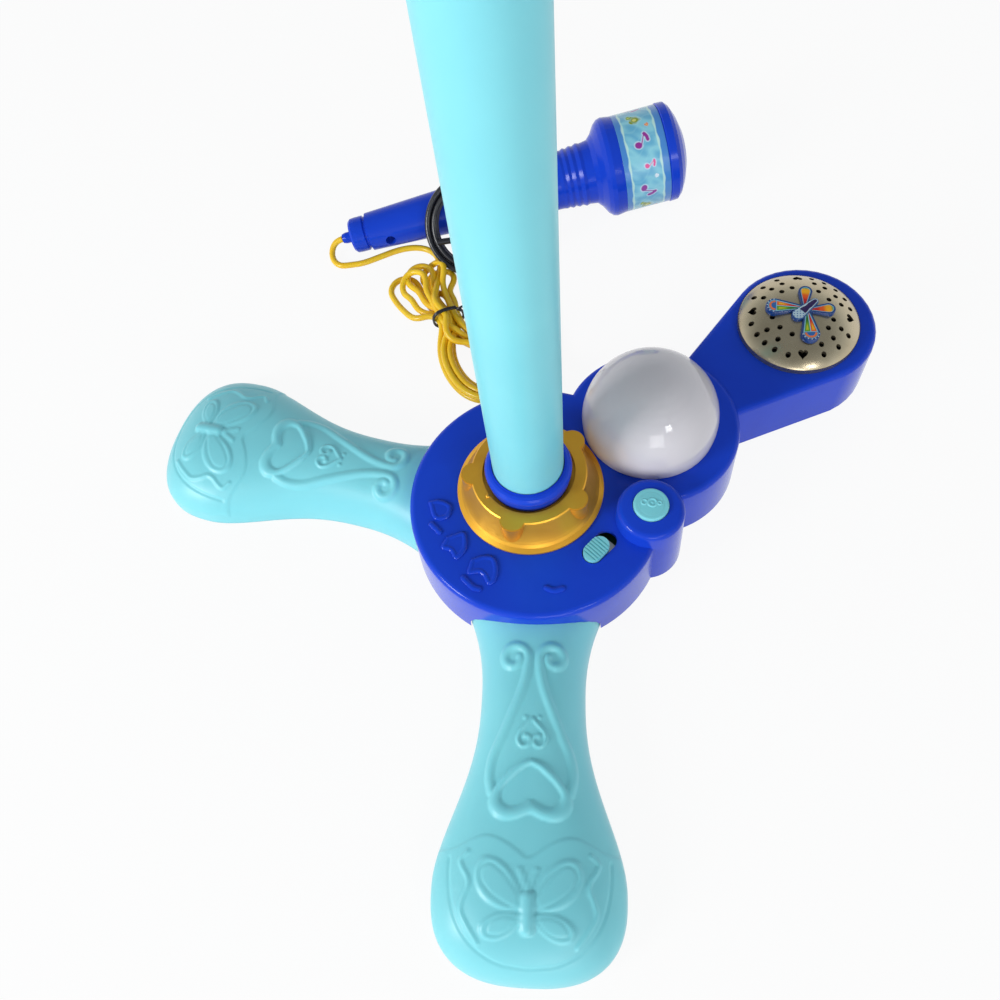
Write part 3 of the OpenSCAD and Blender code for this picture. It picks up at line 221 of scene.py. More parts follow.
# The microphone's cord from its strain relief, over the floor, through the hank and to its plug, as points
# about 5.4 mm apart. They are a table made by another script and not a route chosen by hand: it laid the cord
# out over the photograph and pushed its strands apart. The part's source has a plainer route of its own, up
# to 4.1 mm away; this is a fault.
YELLOW_ROUTE = np.array([
    (-119.8, 180.9, 9.0), (-124.8, 179.6, 7.3), (-127.7, 176.9, 3.9), (-126.1, 172.5, 1.9),
    (-121.9, 169.1, 1.8), (-116.9, 167.2, 1.8), (-111.5, 167.0, 1.8), (-106.3, 168.5, 1.8),
    (-101.4, 170.8, 1.8), (-96.5, 173.1, 1.8), (-91.6, 175.5, 1.8), (-86.6, 177.6, 1.8),
    (-81.4, 178.9, 1.8), (-76.0, 179.3, 1.8), (-70.6, 178.4, 1.8), (-65.9, 175.9, 1.8),
    (-62.4, 171.7, 1.8), (-60.6, 166.7, 2.5), (-59.3, 161.9, 4.6), (-59.8, 156.6, 4.4),
    (-59.7, 151.3, 5.2), (-59.8, 146.4, 7.5), (-59.6, 141.2, 8.9), (-59.6, 136.0, 10.5),
    (-59.5, 131.0, 12.5), (-57.3, 126.3, 12.8), (-53.8, 122.6, 12.2), (-51.5, 117.7, 12.3),
    (-51.2, 112.7, 13.5), (-50.9, 108.0, 10.9), (-47.5, 104.4, 9.5), (-42.2, 103.7, 8.7),
    (-36.9, 103.0, 7.9), (-31.8, 101.3, 7.3), (-27.0, 98.9, 7.0), (-22.1, 96.8, 8.0),
    (-18.2, 93.8, 5.8), (-14.4, 90.1, 6.1), (-11.6, 86.2, 4.7), (-12.1, 81.9, 1.9), (-14.4, 77.0, 1.8),
    (-18.1, 73.0, 1.8), (-22.5, 70.0, 1.8), (-27.7, 68.7, 1.8), (-33.1, 69.6, 1.8), (-38.0, 71.9, 1.8),
    (-42.2, 75.2, 1.8), (-45.7, 79.3, 1.8), (-48.8, 83.8, 1.8), (-51.3, 88.6, 1.8), (-53.3, 93.6, 1.8),
    (-54.7, 98.9, 1.8), (-55.4, 104.2, 1.9), (-55.4, 109.4, 3.3), (-55.0, 114.3, 5.6),
    (-56.4, 119.4, 6.0), (-59.6, 123.2, 7.2), (-64.7, 122.8, 6.3), (-70.0, 122.5, 5.1),
    (-74.2, 125.4, 4.0), (-77.9, 129.3, 3.3), (-81.4, 133.4, 2.6), (-84.4, 137.9, 2.0),
    (-86.7, 142.8, 1.8), (-87.6, 148.1, 1.8), (-85.8, 153.1, 1.8), (-81.0, 155.4, 1.8),
    (-76.1, 153.6, 1.8), (-72.4, 149.6, 1.8), (-69.8, 144.9, 1.8), (-67.3, 140.0, 1.8),
    (-64.8, 135.3, 1.8), (-61.8, 130.7, 1.8), (-58.1, 126.9, 2.0), (-55.3, 122.8, 3.3),
    (-53.2, 117.8, 3.3), (-50.0, 113.7, 2.0), (-45.6, 110.6, 1.8), (-41.1, 107.6, 1.8),
    (-36.3, 105.1, 1.8), (-31.4, 102.8, 1.8), (-27.4, 99.2, 1.8), (-23.1, 96.2, 1.8),
    (-19.2, 92.6, 1.8), (-16.7, 87.8, 1.8), (-15.7, 82.6, 1.8), (-18.6, 78.2, 1.8), (-22.8, 74.7, 1.8),
    (-27.7, 72.7, 1.8), (-33.0, 73.5, 1.8), (-37.7, 76.3, 1.8), (-41.6, 80.0, 1.8), (-44.9, 84.3, 1.8),
    (-47.6, 89.0, 1.8), (-49.7, 94.0, 1.8), (-51.2, 99.2, 1.8), (-51.9, 104.6, 2.0),
    (-51.9, 109.8, 3.3), (-51.7, 114.6, 5.8), (-52.3, 119.9, 6.3), (-55.5, 124.1, 6.3),
    (-60.3, 125.7, 4.6), (-65.5, 126.8, 4.8), (-70.0, 129.8, 4.7), (-73.0, 134.3, 4.8),
    (-75.3, 139.2, 5.0), (-77.1, 144.3, 5.3), (-78.4, 149.5, 5.8), (-78.1, 154.5, 7.6),
    (-73.5, 153.7, 8.5), (-70.4, 149.3, 8.9), (-67.8, 144.6, 9.2), (-65.1, 139.9, 9.1),
    (-62.6, 135.1, 8.9), (-60.4, 130.2, 9.2), (-57.9, 125.4, 9.5), (-55.1, 120.8, 9.2),
    (-52.9, 115.8, 9.5), (-48.9, 112.8, 10.7), (-44.4, 110.7, 8.7), (-40.6, 108.8, 5.5),
    (-35.7, 106.6, 5.0), (-30.7, 104.5, 4.8), (-26.0, 102.0, 5.3), (-21.2, 99.8, 6.1),
    (-16.7, 97.0, 5.0), (-13.2, 92.9, 4.4), (-10.4, 88.7, 2.6), (-9.0, 84.1, 3.8), (-10.6, 79.1, 4.6),
    (-13.6, 74.7, 4.7), (-17.7, 71.2, 5.0), (-22.6, 69.0, 5.2), (-28.0, 68.6, 5.4), (-33.2, 69.9, 5.3),
    (-38.0, 72.6, 5.3), (-42.0, 76.2, 5.2), (-45.3, 80.5, 5.2), (-48.1, 85.1, 5.1), (-50.3, 90.0, 5.0),
    (-52.0, 95.2, 4.9), (-53.0, 100.5, 5.1), (-52.7, 105.8, 5.8), (-51.0, 110.7, 7.5),
    (-49.5, 115.7, 8.6), (-50.7, 120.8, 9.4), (-53.5, 125.4, 9.0), (-57.5, 128.2, 6.8),
    (-62.3, 130.2, 5.8), (-66.0, 134.2, 5.6), (-68.7, 138.8, 5.3), (-71.3, 143.6, 5.1),
    (-73.8, 148.4, 5.1), (-75.6, 153.5, 5.2), (-76.1, 158.8, 5.3), (-71.9, 161.2, 6.0),
    (-68.0, 157.8, 6.3), (-65.3, 153.1, 6.0), (-63.2, 148.1, 5.4), (-60.6, 143.8, 3.9),
    (-59.9, 139.0, 1.9), (-57.8, 134.0, 1.8), (-55.1, 129.3, 1.9), (-52.4, 124.8, 2.7),
    (-50.4, 119.7, 2.7), (-47.0, 115.7, 1.9), (-42.1, 113.4, 1.8), (-37.2, 111.2, 1.8),
    (-32.1, 109.2, 1.8), (-27.9, 105.9, 1.8), (-24.9, 101.4, 1.9), (-23.2, 97.1, 4.5),
    (-21.2, 92.1, 4.5), (-19.3, 87.1, 3.8), (-20.0, 82.3, 1.9), (-24.1, 78.8, 1.8), (-29.0, 76.7, 1.8),
    (-34.1, 78.2, 1.8), (-38.2, 81.8, 1.8), (-41.7, 85.9, 1.8), (-44.4, 90.6, 1.8), (-46.5, 95.6, 1.8),
    (-47.9, 100.8, 1.8), (-48.4, 106.2, 1.9), (-48.6, 111.1, 4.2), (-48.3, 116.3, 5.7),
    (-49.1, 121.5, 6.4), (-51.7, 126.2, 6.1), (-55.0, 130.4, 5.3), (-58.2, 134.8, 5.3),
    (-60.8, 139.6, 5.4), (-63.3, 143.3, 2.9), (-64.4, 148.3, 2.1), (-66.5, 153.3, 2.6),
    (-67.9, 158.5, 2.6), (-66.2, 163.3, 2.9), (-62.4, 162.0, 5.7), (-60.0, 157.9, 7.9),
    (-58.2, 152.8, 8.0), (-56.5, 147.7, 7.3), (-55.5, 142.4, 7.2), (-53.8, 137.3, 7.8),
    (-51.8, 132.3, 8.3), (-49.6, 127.4, 8.9), (-47.5, 122.4, 9.4), (-45.1, 117.6, 8.9),
    (-41.4, 113.9, 7.5), (-37.1, 111.1, 5.9), (-32.1, 109.1, 5.3), (-27.2, 106.8, 5.1),
    (-23.0, 103.6, 3.9), (-20.0, 99.5, 2.3), (-16.8, 95.2, 1.8), (-14.3, 90.4, 2.0),
    (-14.1, 85.9, 4.9), (-13.8, 80.9, 5.2), (-17.1, 76.7, 4.8), (-21.6, 73.6, 5.1), (-26.8, 72.2, 5.3),
    (-32.0, 73.3, 5.3), (-36.7, 76.1, 5.3), (-40.5, 79.9, 5.3), (-43.6, 84.4, 5.2), (-46.1, 89.2, 5.1),
    (-48.1, 94.2, 5.0), (-49.3, 99.5, 5.1), (-49.2, 104.9, 5.3), (-47.6, 109.8, 6.7),
    (-45.4, 114.5, 5.6), (-46.4, 119.3, 3.6), (-48.6, 124.3, 3.4), (-50.3, 129.3, 2.8),
    (-52.2, 134.4, 1.9), (-54.2, 139.4, 1.8), (-56.6, 144.2, 1.8), (-59.2, 149.0, 1.8),
    (-61.7, 153.8, 1.8), (-62.7, 159.1, 1.8), (-59.0, 159.8, 1.8), (-56.7, 155.0, 2.4),
    (-55.1, 149.9, 3.5), (-53.1, 144.9, 4.2), (-50.9, 140.0, 4.5), (-48.9, 135.0, 4.8),
    (-47.8, 129.7, 5.6), (-46.4, 124.6, 6.2), (-44.0, 119.7, 6.2), (-41.0, 115.6, 4.5),
    (-36.0, 113.7, 3.9), (-30.9, 112.0, 3.6), (-26.3, 109.2, 2.6), (-21.9, 106.2, 1.8),
    (-18.0, 102.5, 1.8), (-14.6, 98.3, 1.9), (-11.1, 94.7, 3.3), (-9.5, 90.9, 6.4), (-8.4, 85.8, 7.5),
    (-7.8, 81.1, 10.1), (-7.3, 76.1, 12.0),
])
yellow_path = limp(spline(YELLOW_ROUTE, 1.0))
yellow_cord = tube("yellow_cord", yellow_path, CORD_D / 2, sides=14)

COIL_AT = np.array([-38.0, 173.4, 24.9])
COIL_TILT = (48.0, -9.0)
COIL_R = 25.0


def coil_axes():
    """The coil's own axes: turned about X, then about Y."""
    return np.array(Matrix.Rotation(np.radians(COIL_TILT[1]), 3, "Y")
                    @ Matrix.Rotation(np.radians(COIL_TILT[0]), 3, "X"))


def black_route():
    """The audio lead: out of the hub's back, over the floor behind the pole, up into a coil of four
    turns that lean on the microphone's handle, and in to its plug. Turn k of the coil runs at radius
    R + a[k] and height b[k] over the coil's plane; a short smooth step leads to the next turn."""
    out = np.array([
        (10.6, 72.2, 12.0), (11.0, 77.0, 11.2), (11.2, 82.0, 8.4), (11.4, 88.0, 5.0), (11.2, 95.0, 2.6),
        (10.4, 103.0, 1.9), (8.6, 113.0, 1.9), (5.0, 124.0, 1.9), (0.0, 134.0, 1.9), (-6.0, 142.0, 2.2),
        (-13.0, 148.6, 3.0), (-20.0, 153.0, 4.4)])
    slots = np.array([(1.9, -1.9), (-1.9, -1.9), (-1.9, 1.9), (1.9, 1.9)])
    turn = np.linspace(0.0, 3.5, 160)
    low = np.minimum(np.floor(turn).astype(int), 3)
    part = np.clip((turn - low - 0.82) / 0.18, 0, 1)[:, None]
    part = part * part * (3 - 2 * part)
    here = slots[low] * (1 - part) + slots[np.minimum(low + 1, 3)] * part
    angle = np.radians(-84 - 360 * turn)
    r = COIL_R + here[:, 0]
    ring = np.stack([r * np.cos(angle), r * np.sin(angle), here[:, 1]], axis=1)
    last = np.array([(11.0, 23.6, 4.2), (17.6, 18.4, 6.2), (21.4, 10.6, 6.6), (20.6, 2.4, 6.6),
                     (15.2, -4.2, 6.4), (8.3, -6.0, 6.3)])
    return np.vstack([out, np.vstack([ring, last]) @ coil_axes().T + COIL_AT])


black_path = limp(spline(black_route(), 1.0), rounds=100)
black_cord = tube("black_cord", black_path, CORD_D / 2, sides=14)

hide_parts("cord_lead", "cord_hank", "cord_tail")
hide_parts("audio_lead", "audio_coil")
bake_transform(yellow_cord)
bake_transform(black_cord)

# ---------------------------------------------------------------- plain shapes
def shape_piece(name, vertices, faces, body, slot, uv=None, crease=None, merge=1e-4):
    """A mesh piece with its doubles merged, sharp edges where faces meet at more than crease degrees,
    riding on a body. The slot is not used. The merge distance is in millimetres."""
    piece = mesh_piece(name, vertices, faces, uv=uv)
    finish_mesh(piece, crease, merge)
    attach(piece, body)
    return piece


def finish_mesh(piece, crease=None, merge=1e-4):
    """Merges doubles, turns the faces outwards and marks the sharp edges."""
    work = bmesh.new()
    work.from_mesh(piece.data)
    bmesh.ops.remove_doubles(work, verts=work.verts, dist=merge * MM)
    bmesh.ops.dissolve_degenerate(work, edges=work.edges, dist=merge * MM * 0.1)
    bmesh.ops.recalc_face_normals(work, faces=work.faces)
    work.to_mesh(piece.data)
    work.free()
    piece.data.polygons.foreach_set("use_smooth", np.full(len(piece.data.polygons), True))
    if crease is not None:
        piece.data.set_sharp_from_angle(angle=np.radians(crease))
    piece.data.update()


def rounded_line(points, radius, steps=6):
    """A line of (r, z) points whose corners are turned into arcs: each corner p is replaced by the
    quadratic curve (1-t)^2 a + 2t(1-t) p + t^2 b, with a and b at most radius away along its sides."""
    p = np.asarray(points, float)
    r = np.broadcast_to(np.asarray(radius, float), len(p))
    rows = [p[:1]]
    t = np.linspace(0, 1, steps + 1)[:, None]
    for k in range(1, len(p) - 1):
        before, after = p[k - 1] - p[k], p[k + 1] - p[k]
        lb, la = np.linalg.norm(before), np.linalg.norm(after)
        a = p[k] + before / lb * min(r[k], 0.49 * lb)
        b = p[k] + after / la * min(r[k], 0.49 * la)
        rows.append((1 - t) ** 2 * a + 2 * t * (1 - t) * p[k] + t ** 2 * b)
    rows.append(p[-1:])
    return np.vstack(rows)


def turned(profile, sides=160, centre=(0.0, 0.0), closed=False):
    """A turned surface: (cx + r cos a, cy + r sin a, z) for each (r, z) of the profile and angle a.
    A closed profile joins its last point to its first."""
    a = np.linspace(0, 2 * np.pi, sides, endpoint=False)
    r, z = np.asarray(profile, float).T
    x = centre[0] + r[:, None] * np.cos(a)
    y = centre[1] + r[:, None] * np.sin(a)
    v = np.stack([x, y, np.broadcast_to(z[:, None], x.shape)], axis=2).reshape(-1, 3)
    return v, grid_faces(len(r), sides, close_rows=closed, close_columns=True)


def line_distance(path, x, y):
    """Distance of every point (x, y) from the nearest stretch of a line."""
    best = np.full(x.shape, 1e9)
    for a, b in zip(path[:-1], path[1:]):
        d = b - a
        t = np.clip(((x - a[0]) * d[0] + (y - a[1]) * d[1]) / max(d @ d, 1e-9), 0, 1)
        best = np.minimum(best, np.hypot(x - a[0] - t * d[0], y - a[1] - t * d[1]))
    return best


def within(path, x, y):
    """True for every point (x, y) inside a closed outline: a ray to +x crosses it an odd number of times."""
    odd = np.zeros(x.shape, bool)
    for a, b in zip(path, np.roll(path, -1, axis=0)):
        if a[1] != b[1]:
            crosses = (a[1] > y) != (b[1] > y)
            odd ^= crosses & (x < (b[0] - a[0]) * (y - a[1]) / (b[1] - a[1]) + a[0])
    return odd


def curve(points, step=0.6, closed=False):
    """A smooth flat curve through points."""
    p = np.asarray(points, float)
    if closed:
        p = np.vstack([p, p[:1]])
    return spline(np.c_[p, np.zeros(len(p))], step)[:, :2]


def ridge(distance, width, height):
    """A rounded ridge: height * (1 - (d / width)^2)^1.5 within its half width."""
    return height * np.clip(1 - (distance / width) ** 2, 0, None) ** 1.5


def ease(t):
    """The smooth step 3 t^2 - 2 t^3 on 0..1."""
    t = np.clip(t, 0, 1)
    return t * t * (3 - 2 * t)


# ---------------------------------------------------------------- the part's sizes, as packed
HUB_C, HUB_H = np.array([2.6, -4.4]), 33.4
GRILLE_C, GRILLE_R, GRILLE_RISE = np.array([133.4, 94.1]), 30.0, 9.5
BUTTON_C, BUTTON_TOP = np.array([55.1, -13.6]), 44.6
FRONT_ANGLE, LEFT_ANGLE = -90.0, 166.0


def heading(angle):
    """The plan direction of an angle in degrees."""
    return np.array([np.cos(np.radians(angle)), np.sin(np.radians(angle))])


# ---------------------------------------------------------------- feet
FOOT_REACH, FOOT_WIDE, FOOT_SLIM, FOOT_ROOT = 203.0, 168.0, 88.0, 52.0
FOOT_W, NECK_W, FOOT_H, FOOT_WALL = 40.9, 23.7, 25.6, 2.0


def foot_half(s):
    """Half width at distance s from the hub's centre: n + 6.5 u^2.2 on the flared neck,
    n + (w - n) ease(t^1.33) on the swell, and w (1 - v^2.6)^(1/2.6) round the tip."""
    t = np.clip((s - FOOT_SLIM) / (FOOT_WIDE - FOOT_SLIM), 0, 1) ** 1.33
    neck = NECK_W + 6.5 * np.clip((FOOT_SLIM - s) / 35, 0, None) ** 2.2
    v = np.clip((s - FOOT_WIDE) / (FOOT_REACH - FOOT_WIDE), 0, 1)
    tip = FOOT_W * np.clip(1 - v ** 2.6, 0, None) ** (1 / 2.6)
    return np.where(s < FOOT_SLIM, neck, np.where(s < FOOT_WIDE, NECK_W + (FOOT_W - NECK_W) * ease(t), tip))


def foot_top(s):
    """Height of the crown: h, and h (1 - v^2.3)^(1/2.3) round the tip."""
    v = np.clip((s - FOOT_WIDE) / (FOOT_REACH - FOOT_WIDE), 0, 1)
    return FOOT_H * np.clip(1 - v ** 2.3, 0, None) ** (1 / 2.3)


def foot_relief(s, t):
    """Height of the moulded pattern on a foot's crown, mirrored about its middle line: two ribbons that
    roll up in scrolls, a scrolled heart, a wide heart with a sunk panel, a wavy step, and a butterfly
    with two wavy strokes inside a border groove. Each line is a ridge over the distance from its curve."""
    m = np.abs(t - 0.8)
    h = np.zeros(s.shape)
    # ribbon and its scroll
    ribbon = curve([(131.5, 16.2), (126, 17.4), (120, 17), (115, 15.6), (110, 13.3), (100, 9.1), (90, 5.1),
                    (83, 3.2), (77, 2.4)], 0.8)
    a = np.radians(np.linspace(-10, 372, 60))
    r = 6.1 - 3.7 * ((a - a[0]) / (a[-1] - a[0])) ** 1.2
    scroll = np.stack([75.3 - r * np.sin(a), 8.5 - r * np.cos(a)], axis=1)
    h = np.maximum(h, ridge(line_distance(np.vstack([ribbon, scroll[:42]]), s, m), 2.5, 1.15))
    h = np.maximum(h, ridge(line_distance(scroll[40:], s, m), 2.2, 1.0))
    # scrolled heart
    small = curve([(101.6, 0.0), (104.4, 2.6), (107.4, 5.2), (110.6, 5.9), (113, 4.1), (112.9, 1.9),
                   (111.2, 0.7),
                   (109.2, 1.2), (108.6, 2.7)], 0.5)
    h = np.maximum(h, ridge(line_distance(small, s, m), 1.0, 0.9))
    h = np.maximum(h, ridge(np.hypot(s - 108.9, m - 2.6), 1.5, 0.9))
    h = np.maximum(h, ridge(np.hypot(s - 101.2, m - 3.0), 1.3, 0.7))
    # wide heart: a band that rises between its outer and its inner outline
    outer = np.array([(118, 0), (119.6, 4.2), (123.4, 9.4), (128.0, 13.6), (132, 16.6), (137, 17.3),
                      (141, 14.6),
                      (142.6, 10), (141.8, 5), (140, 0)])
    inner = np.array([(120.6, 0), (122.2, 3.0), (125.4, 6.8), (129, 10.4), (132, 12.2), (135, 11.8),
                      (137.1, 9.0),
                      (137.0, 5.6), (135.6, 2.4), (134.2, 0)])
    outer, inner = [curve(np.vstack([o, (o * (1, -1))[-2:0:-1]]), 0.7, closed=True) for o in (outer, inner)]
    in_outer, in_inner = within(outer, s, m), within(inner, s, m)
    d_out, d_in = line_distance(outer, s, m), line_distance(inner, s, m)
    share = d_in / (d_in + d_out + 1e-6)
    band = 1.35 * (4 * share * (1 - share)) ** 0.7 * np.where(in_outer & ~in_inner, 1, 0)
    h = np.where(in_inner, -0.35 * ease(d_in / 0.6), np.maximum(h, band))
    # wavy step
    wave = curve([(154.2, 44), (154.2, 36), (153.3, 30.5), (151, 25.6), (148.6, 20), (148.4, 15.6),
                  (150, 10.6),
                  (153, 5.4), (155.6, 1.8), (156.2, 0), (155.6, -1.8)], 0.7)
    order = np.argsort(wave[:, 1])
    level = np.interp(m, wave[order, 1], wave[order, 0])
    panel = ease((s - level + 0.5) / 1.0) * ease((202 - s) / 20)
    h = h + 0.45 * panel * np.where(s > 144, 1, 0)
    # butterfly
    wing = curve([(171, 1.0), (165, 4.0), (160, 7.4), (156.4, 12.6), (155.8, 18), (158.6, 21.0), (164, 21.8),
                  (169, 19.8), (173, 15.6), (175.2, 9.6), (175.2, 1.0)], 0.7)
    vein = curve([(170.2, 3.0), (165.4, 6.6), (161.2, 10.6), (158.6, 15), (160, 18.2), (164, 18.8),
                  (168.4, 15.6),
                  (172.2, 10), (174.0, 4), (170.2, 3.0)], 0.7)
    low_wing = curve([(176.2, 1.0), (175.4, 8.6), (177, 14.8), (181, 19), (185.2, 17.6), (186.2, 12.6),
                      (184.2, 7.4),
                      (179.6, 1.6)], 0.7)
    low_vein = curve([(177.6, 3.4), (177, 9), (179.2, 14.2), (183, 15.8), (183.8, 11.4), (181.6, 6.6),
                      (177.6, 3.4)], 0.7)
    for outline, line in ((wing, vein), (low_wing, low_vein)):
        inside = within(outline, s, m)
        d = line_distance(outline, s, m)
        h = h + 0.75 * np.where(inside, ease(d / 1.3), 0)
        h = h - ridge(line_distance(line, s, m), 0.75, 0.4)
    body = np.hypot(np.maximum(np.abs(s - 175.8) - 5.4, 0), t - 0.8)
    h = np.maximum(h, 2.3 * np.sqrt(np.clip(1 - (body / 2.9) ** 2, 0, None)))
    feeler = np.array([(160.4, 3.4), (164, 1.8), (168, 0.2)])
    h = np.maximum(h, 0.5 + ridge(line_distance(feeler, s, m), 1.1, 0.75) - 0.5 * (np.abs(s - 164) > 5))
    # strokes beside the butterfly
    stroke = curve([(154.6, 24.6), (157.6, 27.6), (160.4, 26.6), (163.6, 24.4), (166.6, 23.7), (171, 25.6),
                    (175.6, 26.6),
                    (180.4, 24.2), (187, 19.4)], 0.7)
    h = h + ridge(line_distance(stroke, s, m), 1.2, 0.7)
    # border groove
    v = np.linspace(0, 1, 40)
    border = np.stack([157 + 38.4 * v, 32.6 * np.clip(1 - v ** 2.5, 0, None) ** (1 / 2.2)], axis=1)
    h = h - ridge(line_distance(border, s, m), 0.9, 0.45)
    return h


def foot_skin(angle):
    """A foot's outside: at station s and angle a over it the point lies across at w(s) c |c|^-0.12 and up at
    h(s) |sin a|^0.88, with c = cos a, moved out along the surface's normal by the relief there."""
    tip = np.sin(np.linspace(0.012, np.pi / 2, 78))
    s = np.r_[np.linspace(FOOT_ROOT, FOOT_WIDE, 176), FOOT_WIDE + (FOOT_REACH - FOOT_WIDE) * tip]
    a = np.linspace(0, np.pi, 151)
    w, top = foot_half(s)[:, None], foot_top(s)[:, None]
    across = w * np.sign(np.cos(a)) * np.abs(np.cos(a)) ** 0.88
    up = np.maximum(top * np.abs(np.sin(a)) ** 0.88, 0)
    along = np.broadcast_to(s[:, None], across.shape)
    p = np.stack([along, across, up], axis=2)
    n = np.cross(np.gradient(p, axis=0), np.gradient(p, axis=1))
    n /= np.maximum(np.linalg.norm(n, axis=2), 1e-9)[:, :, None]
    n *= np.sign(n[:, :, 2:3] + 1e-9)
    fade = ease((np.sin(a) - 0.12) / 0.2) * ease((FOOT_REACH - 1.2 - along) / 3)
    p = p + n * (foot_relief(along, across) * fade)[:, :, None]
    p[:, (0, -1), 2] = 0
    d, left = heading(angle), heading(angle + 90)
    xy = HUB_C + p[:, :, :1] * d + p[:, :, 1:2] * left
    v = np.concatenate([xy, p[:, :, 2:]], axis=2).reshape(-1, 3)
    return v, grid_faces(len(s), len(a))


feet = []
for name, angle in (("front_foot", FRONT_ANGLE), ("left_foot", LEFT_ANGLE)):
    foot = shape_piece(name + "_skin", *foot_skin(angle), body="base", slot="light_blue")
    wall = foot.modifiers.new("wall", "SOLIDIFY")
    wall.thickness = FOOT_WALL * MM
    wall.offset = -1
    wall.use_rim = True
    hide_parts(name)
    feet.append(foot)

# ---------------------------------------------------------------- shared effects
def effect(name, inputs, output):
    """A shader node group with named inputs and one output, and its two end nodes."""
    group = bpy.data.node_groups.new(name, "ShaderNodeTree")
    for label, kind, value in inputs:
        socket = group.interface.new_socket(name=label, in_out="INPUT", socket_type="NodeSocket" + kind)
        socket.default_value = value
    group.interface.new_socket(name=output[0], in_out="OUTPUT", socket_type="NodeSocket" + output[1])
    return group, group.nodes.new("NodeGroupInput"), group.nodes.new("NodeGroupOutput")


def node(tree, kind, values=(), **settings):
    """A node with its settings and the starting values of its named sockets."""
    made = tree.nodes.new("ShaderNode" + kind)
    for key, value in settings.items():
        setattr(made, key, value)
    for key, value in dict(values).items():
        made.inputs[key].default_value = value
    return made


def fine_grain():
    """Moulded grain: a bump over a fine noise on Object coordinates, with a broad ripple under it."""
    group, start, end = effect("fine_grain", [
        ("Scale", "Float", 900.0), ("Height", "Float", 0.00002), ("Ripple Scale", "Float", 60.0),
        ("Ripple", "Float", 0.0001)], ("Normal", "Vector"))
    place = node(group, "TexCoord")
    fine = node(group, "TexNoise", {"Detail": 2.0, "Roughness": 0.55})
    broad = node(group, "TexNoise", {"Detail": 1.0, "Roughness": 0.4})
    high = node(group, "Math", operation="MULTIPLY")
    low = node(group, "Math", operation="MULTIPLY")
    total = node(group, "Math", operation="ADD")
    bump = node(group, "Bump", {"Strength": 1.0, "Distance": 1.0})
    for a, b in ((place.outputs["Object"], fine.inputs["Vector"]),
                 (place.outputs["Object"], broad.inputs["Vector"]),
                 (start.outputs["Scale"], fine.inputs["Scale"]),
                 (start.outputs["Ripple Scale"], broad.inputs["Scale"]),
                 (fine.outputs["Fac"], high.inputs[0]), (start.outputs["Height"], high.inputs[1]),
                 (broad.outputs["Fac"], low.inputs[0]), (start.outputs["Ripple"], low.inputs[1]),
                 (high.outputs[0], total.inputs[0]), (low.outputs[0], total.inputs[1]),
                 (total.outputs[0], bump.inputs["Height"]), (bump.outputs["Normal"], end.inputs["Normal"])):
        group.links.new(a, b)
    return group


def handled():
    """Roughness of a surface that hands have touched: plain + spread (noise - 1/2), over soft patches."""
    group, start, end = effect("handled", [
        ("Plain", "Float", 0.3), ("Spread", "Float", 0.1), ("Scale", "Float", 30.0)], ("Roughness", "Float"))
    place = node(group, "TexCoord")
    patches = node(group, "TexNoise", {"Detail": 5.0, "Roughness": 0.6, "Distortion": 0.6})
    centred = node(group, "Math", {1: 0.5}, operation="SUBTRACT")
    spread = node(group, "Math", operation="MULTIPLY_ADD")
    for a, b in ((place.outputs["Object"], patches.inputs["Vector"]),
                 (start.outputs["Scale"], patches.inputs["Scale"]),
                 (patches.outputs["Fac"], centred.inputs[0]), (centred.outputs[0], spread.inputs[0]),
                 (start.outputs["Spread"], spread.inputs[1]), (start.outputs["Plain"], spread.inputs[2]),
                 (spread.outputs[0], end.inputs["Roughness"])):
        group.links.new(a, b)
    return group


# the colour sockets of a Mix node, by number because they share their names with its number sockets
MIX_A, MIX_B, MIX_RESULT = 6, 7, 2


def toned():
    """Colour of pigment in plastic: goes from a colour towards its shade over broad soft flow marks."""
    group, start, end = effect("toned", [
        ("Colour", "Color", (0.5, 0.5, 0.5, 1)), ("Shade", "Color", (0.4, 0.4, 0.4, 1)),
        ("Scale", "Float", 14.0),
        ("Amount", "Float", 0.5)], ("Colour", "Color"))
    place = node(group, "TexCoord")
    marks = node(group, "TexNoise", {"Detail": 3.0, "Roughness": 0.5, "Distortion": 1.2})
    shape = node(group, "MapRange", {"From Min": 0.35, "From Max": 0.75})
    share = node(group, "Math", operation="MULTIPLY")
    mix = node(group, "Mix", data_type="RGBA")
    for a, b in ((place.outputs["Object"], marks.inputs["Vector"]),
                 (start.outputs["Scale"], marks.inputs["Scale"]),
                 (marks.outputs["Fac"], shape.inputs["Value"]), (shape.outputs["Result"], share.inputs[0]),
                 (start.outputs["Amount"], share.inputs[1]), (share.outputs[0], mix.inputs["Factor"]),
                 (start.outputs["Colour"], mix.inputs[MIX_A]), (start.outputs["Shade"], mix.inputs[MIX_B]),
                 (mix.outputs[MIX_RESULT], end.inputs["Colour"])):
        group.links.new(a, b)
    return group


GRAIN, HANDLED, TONED = fine_grain(), handled(), toned()


def screen(*colour):
    """A colour written as screen numbers from 0 to 255, as three linear numbers."""
    c = np.array(colour) / 255
    return np.where(c <= 0.04045, c / 12.92, ((c + 0.055) / 1.055) ** 2.4)


def linear(r, g, b):
    """The same with an alpha of one, as shader sockets take it."""
    return (*screen(r, g, b).tolist(), 1.0)


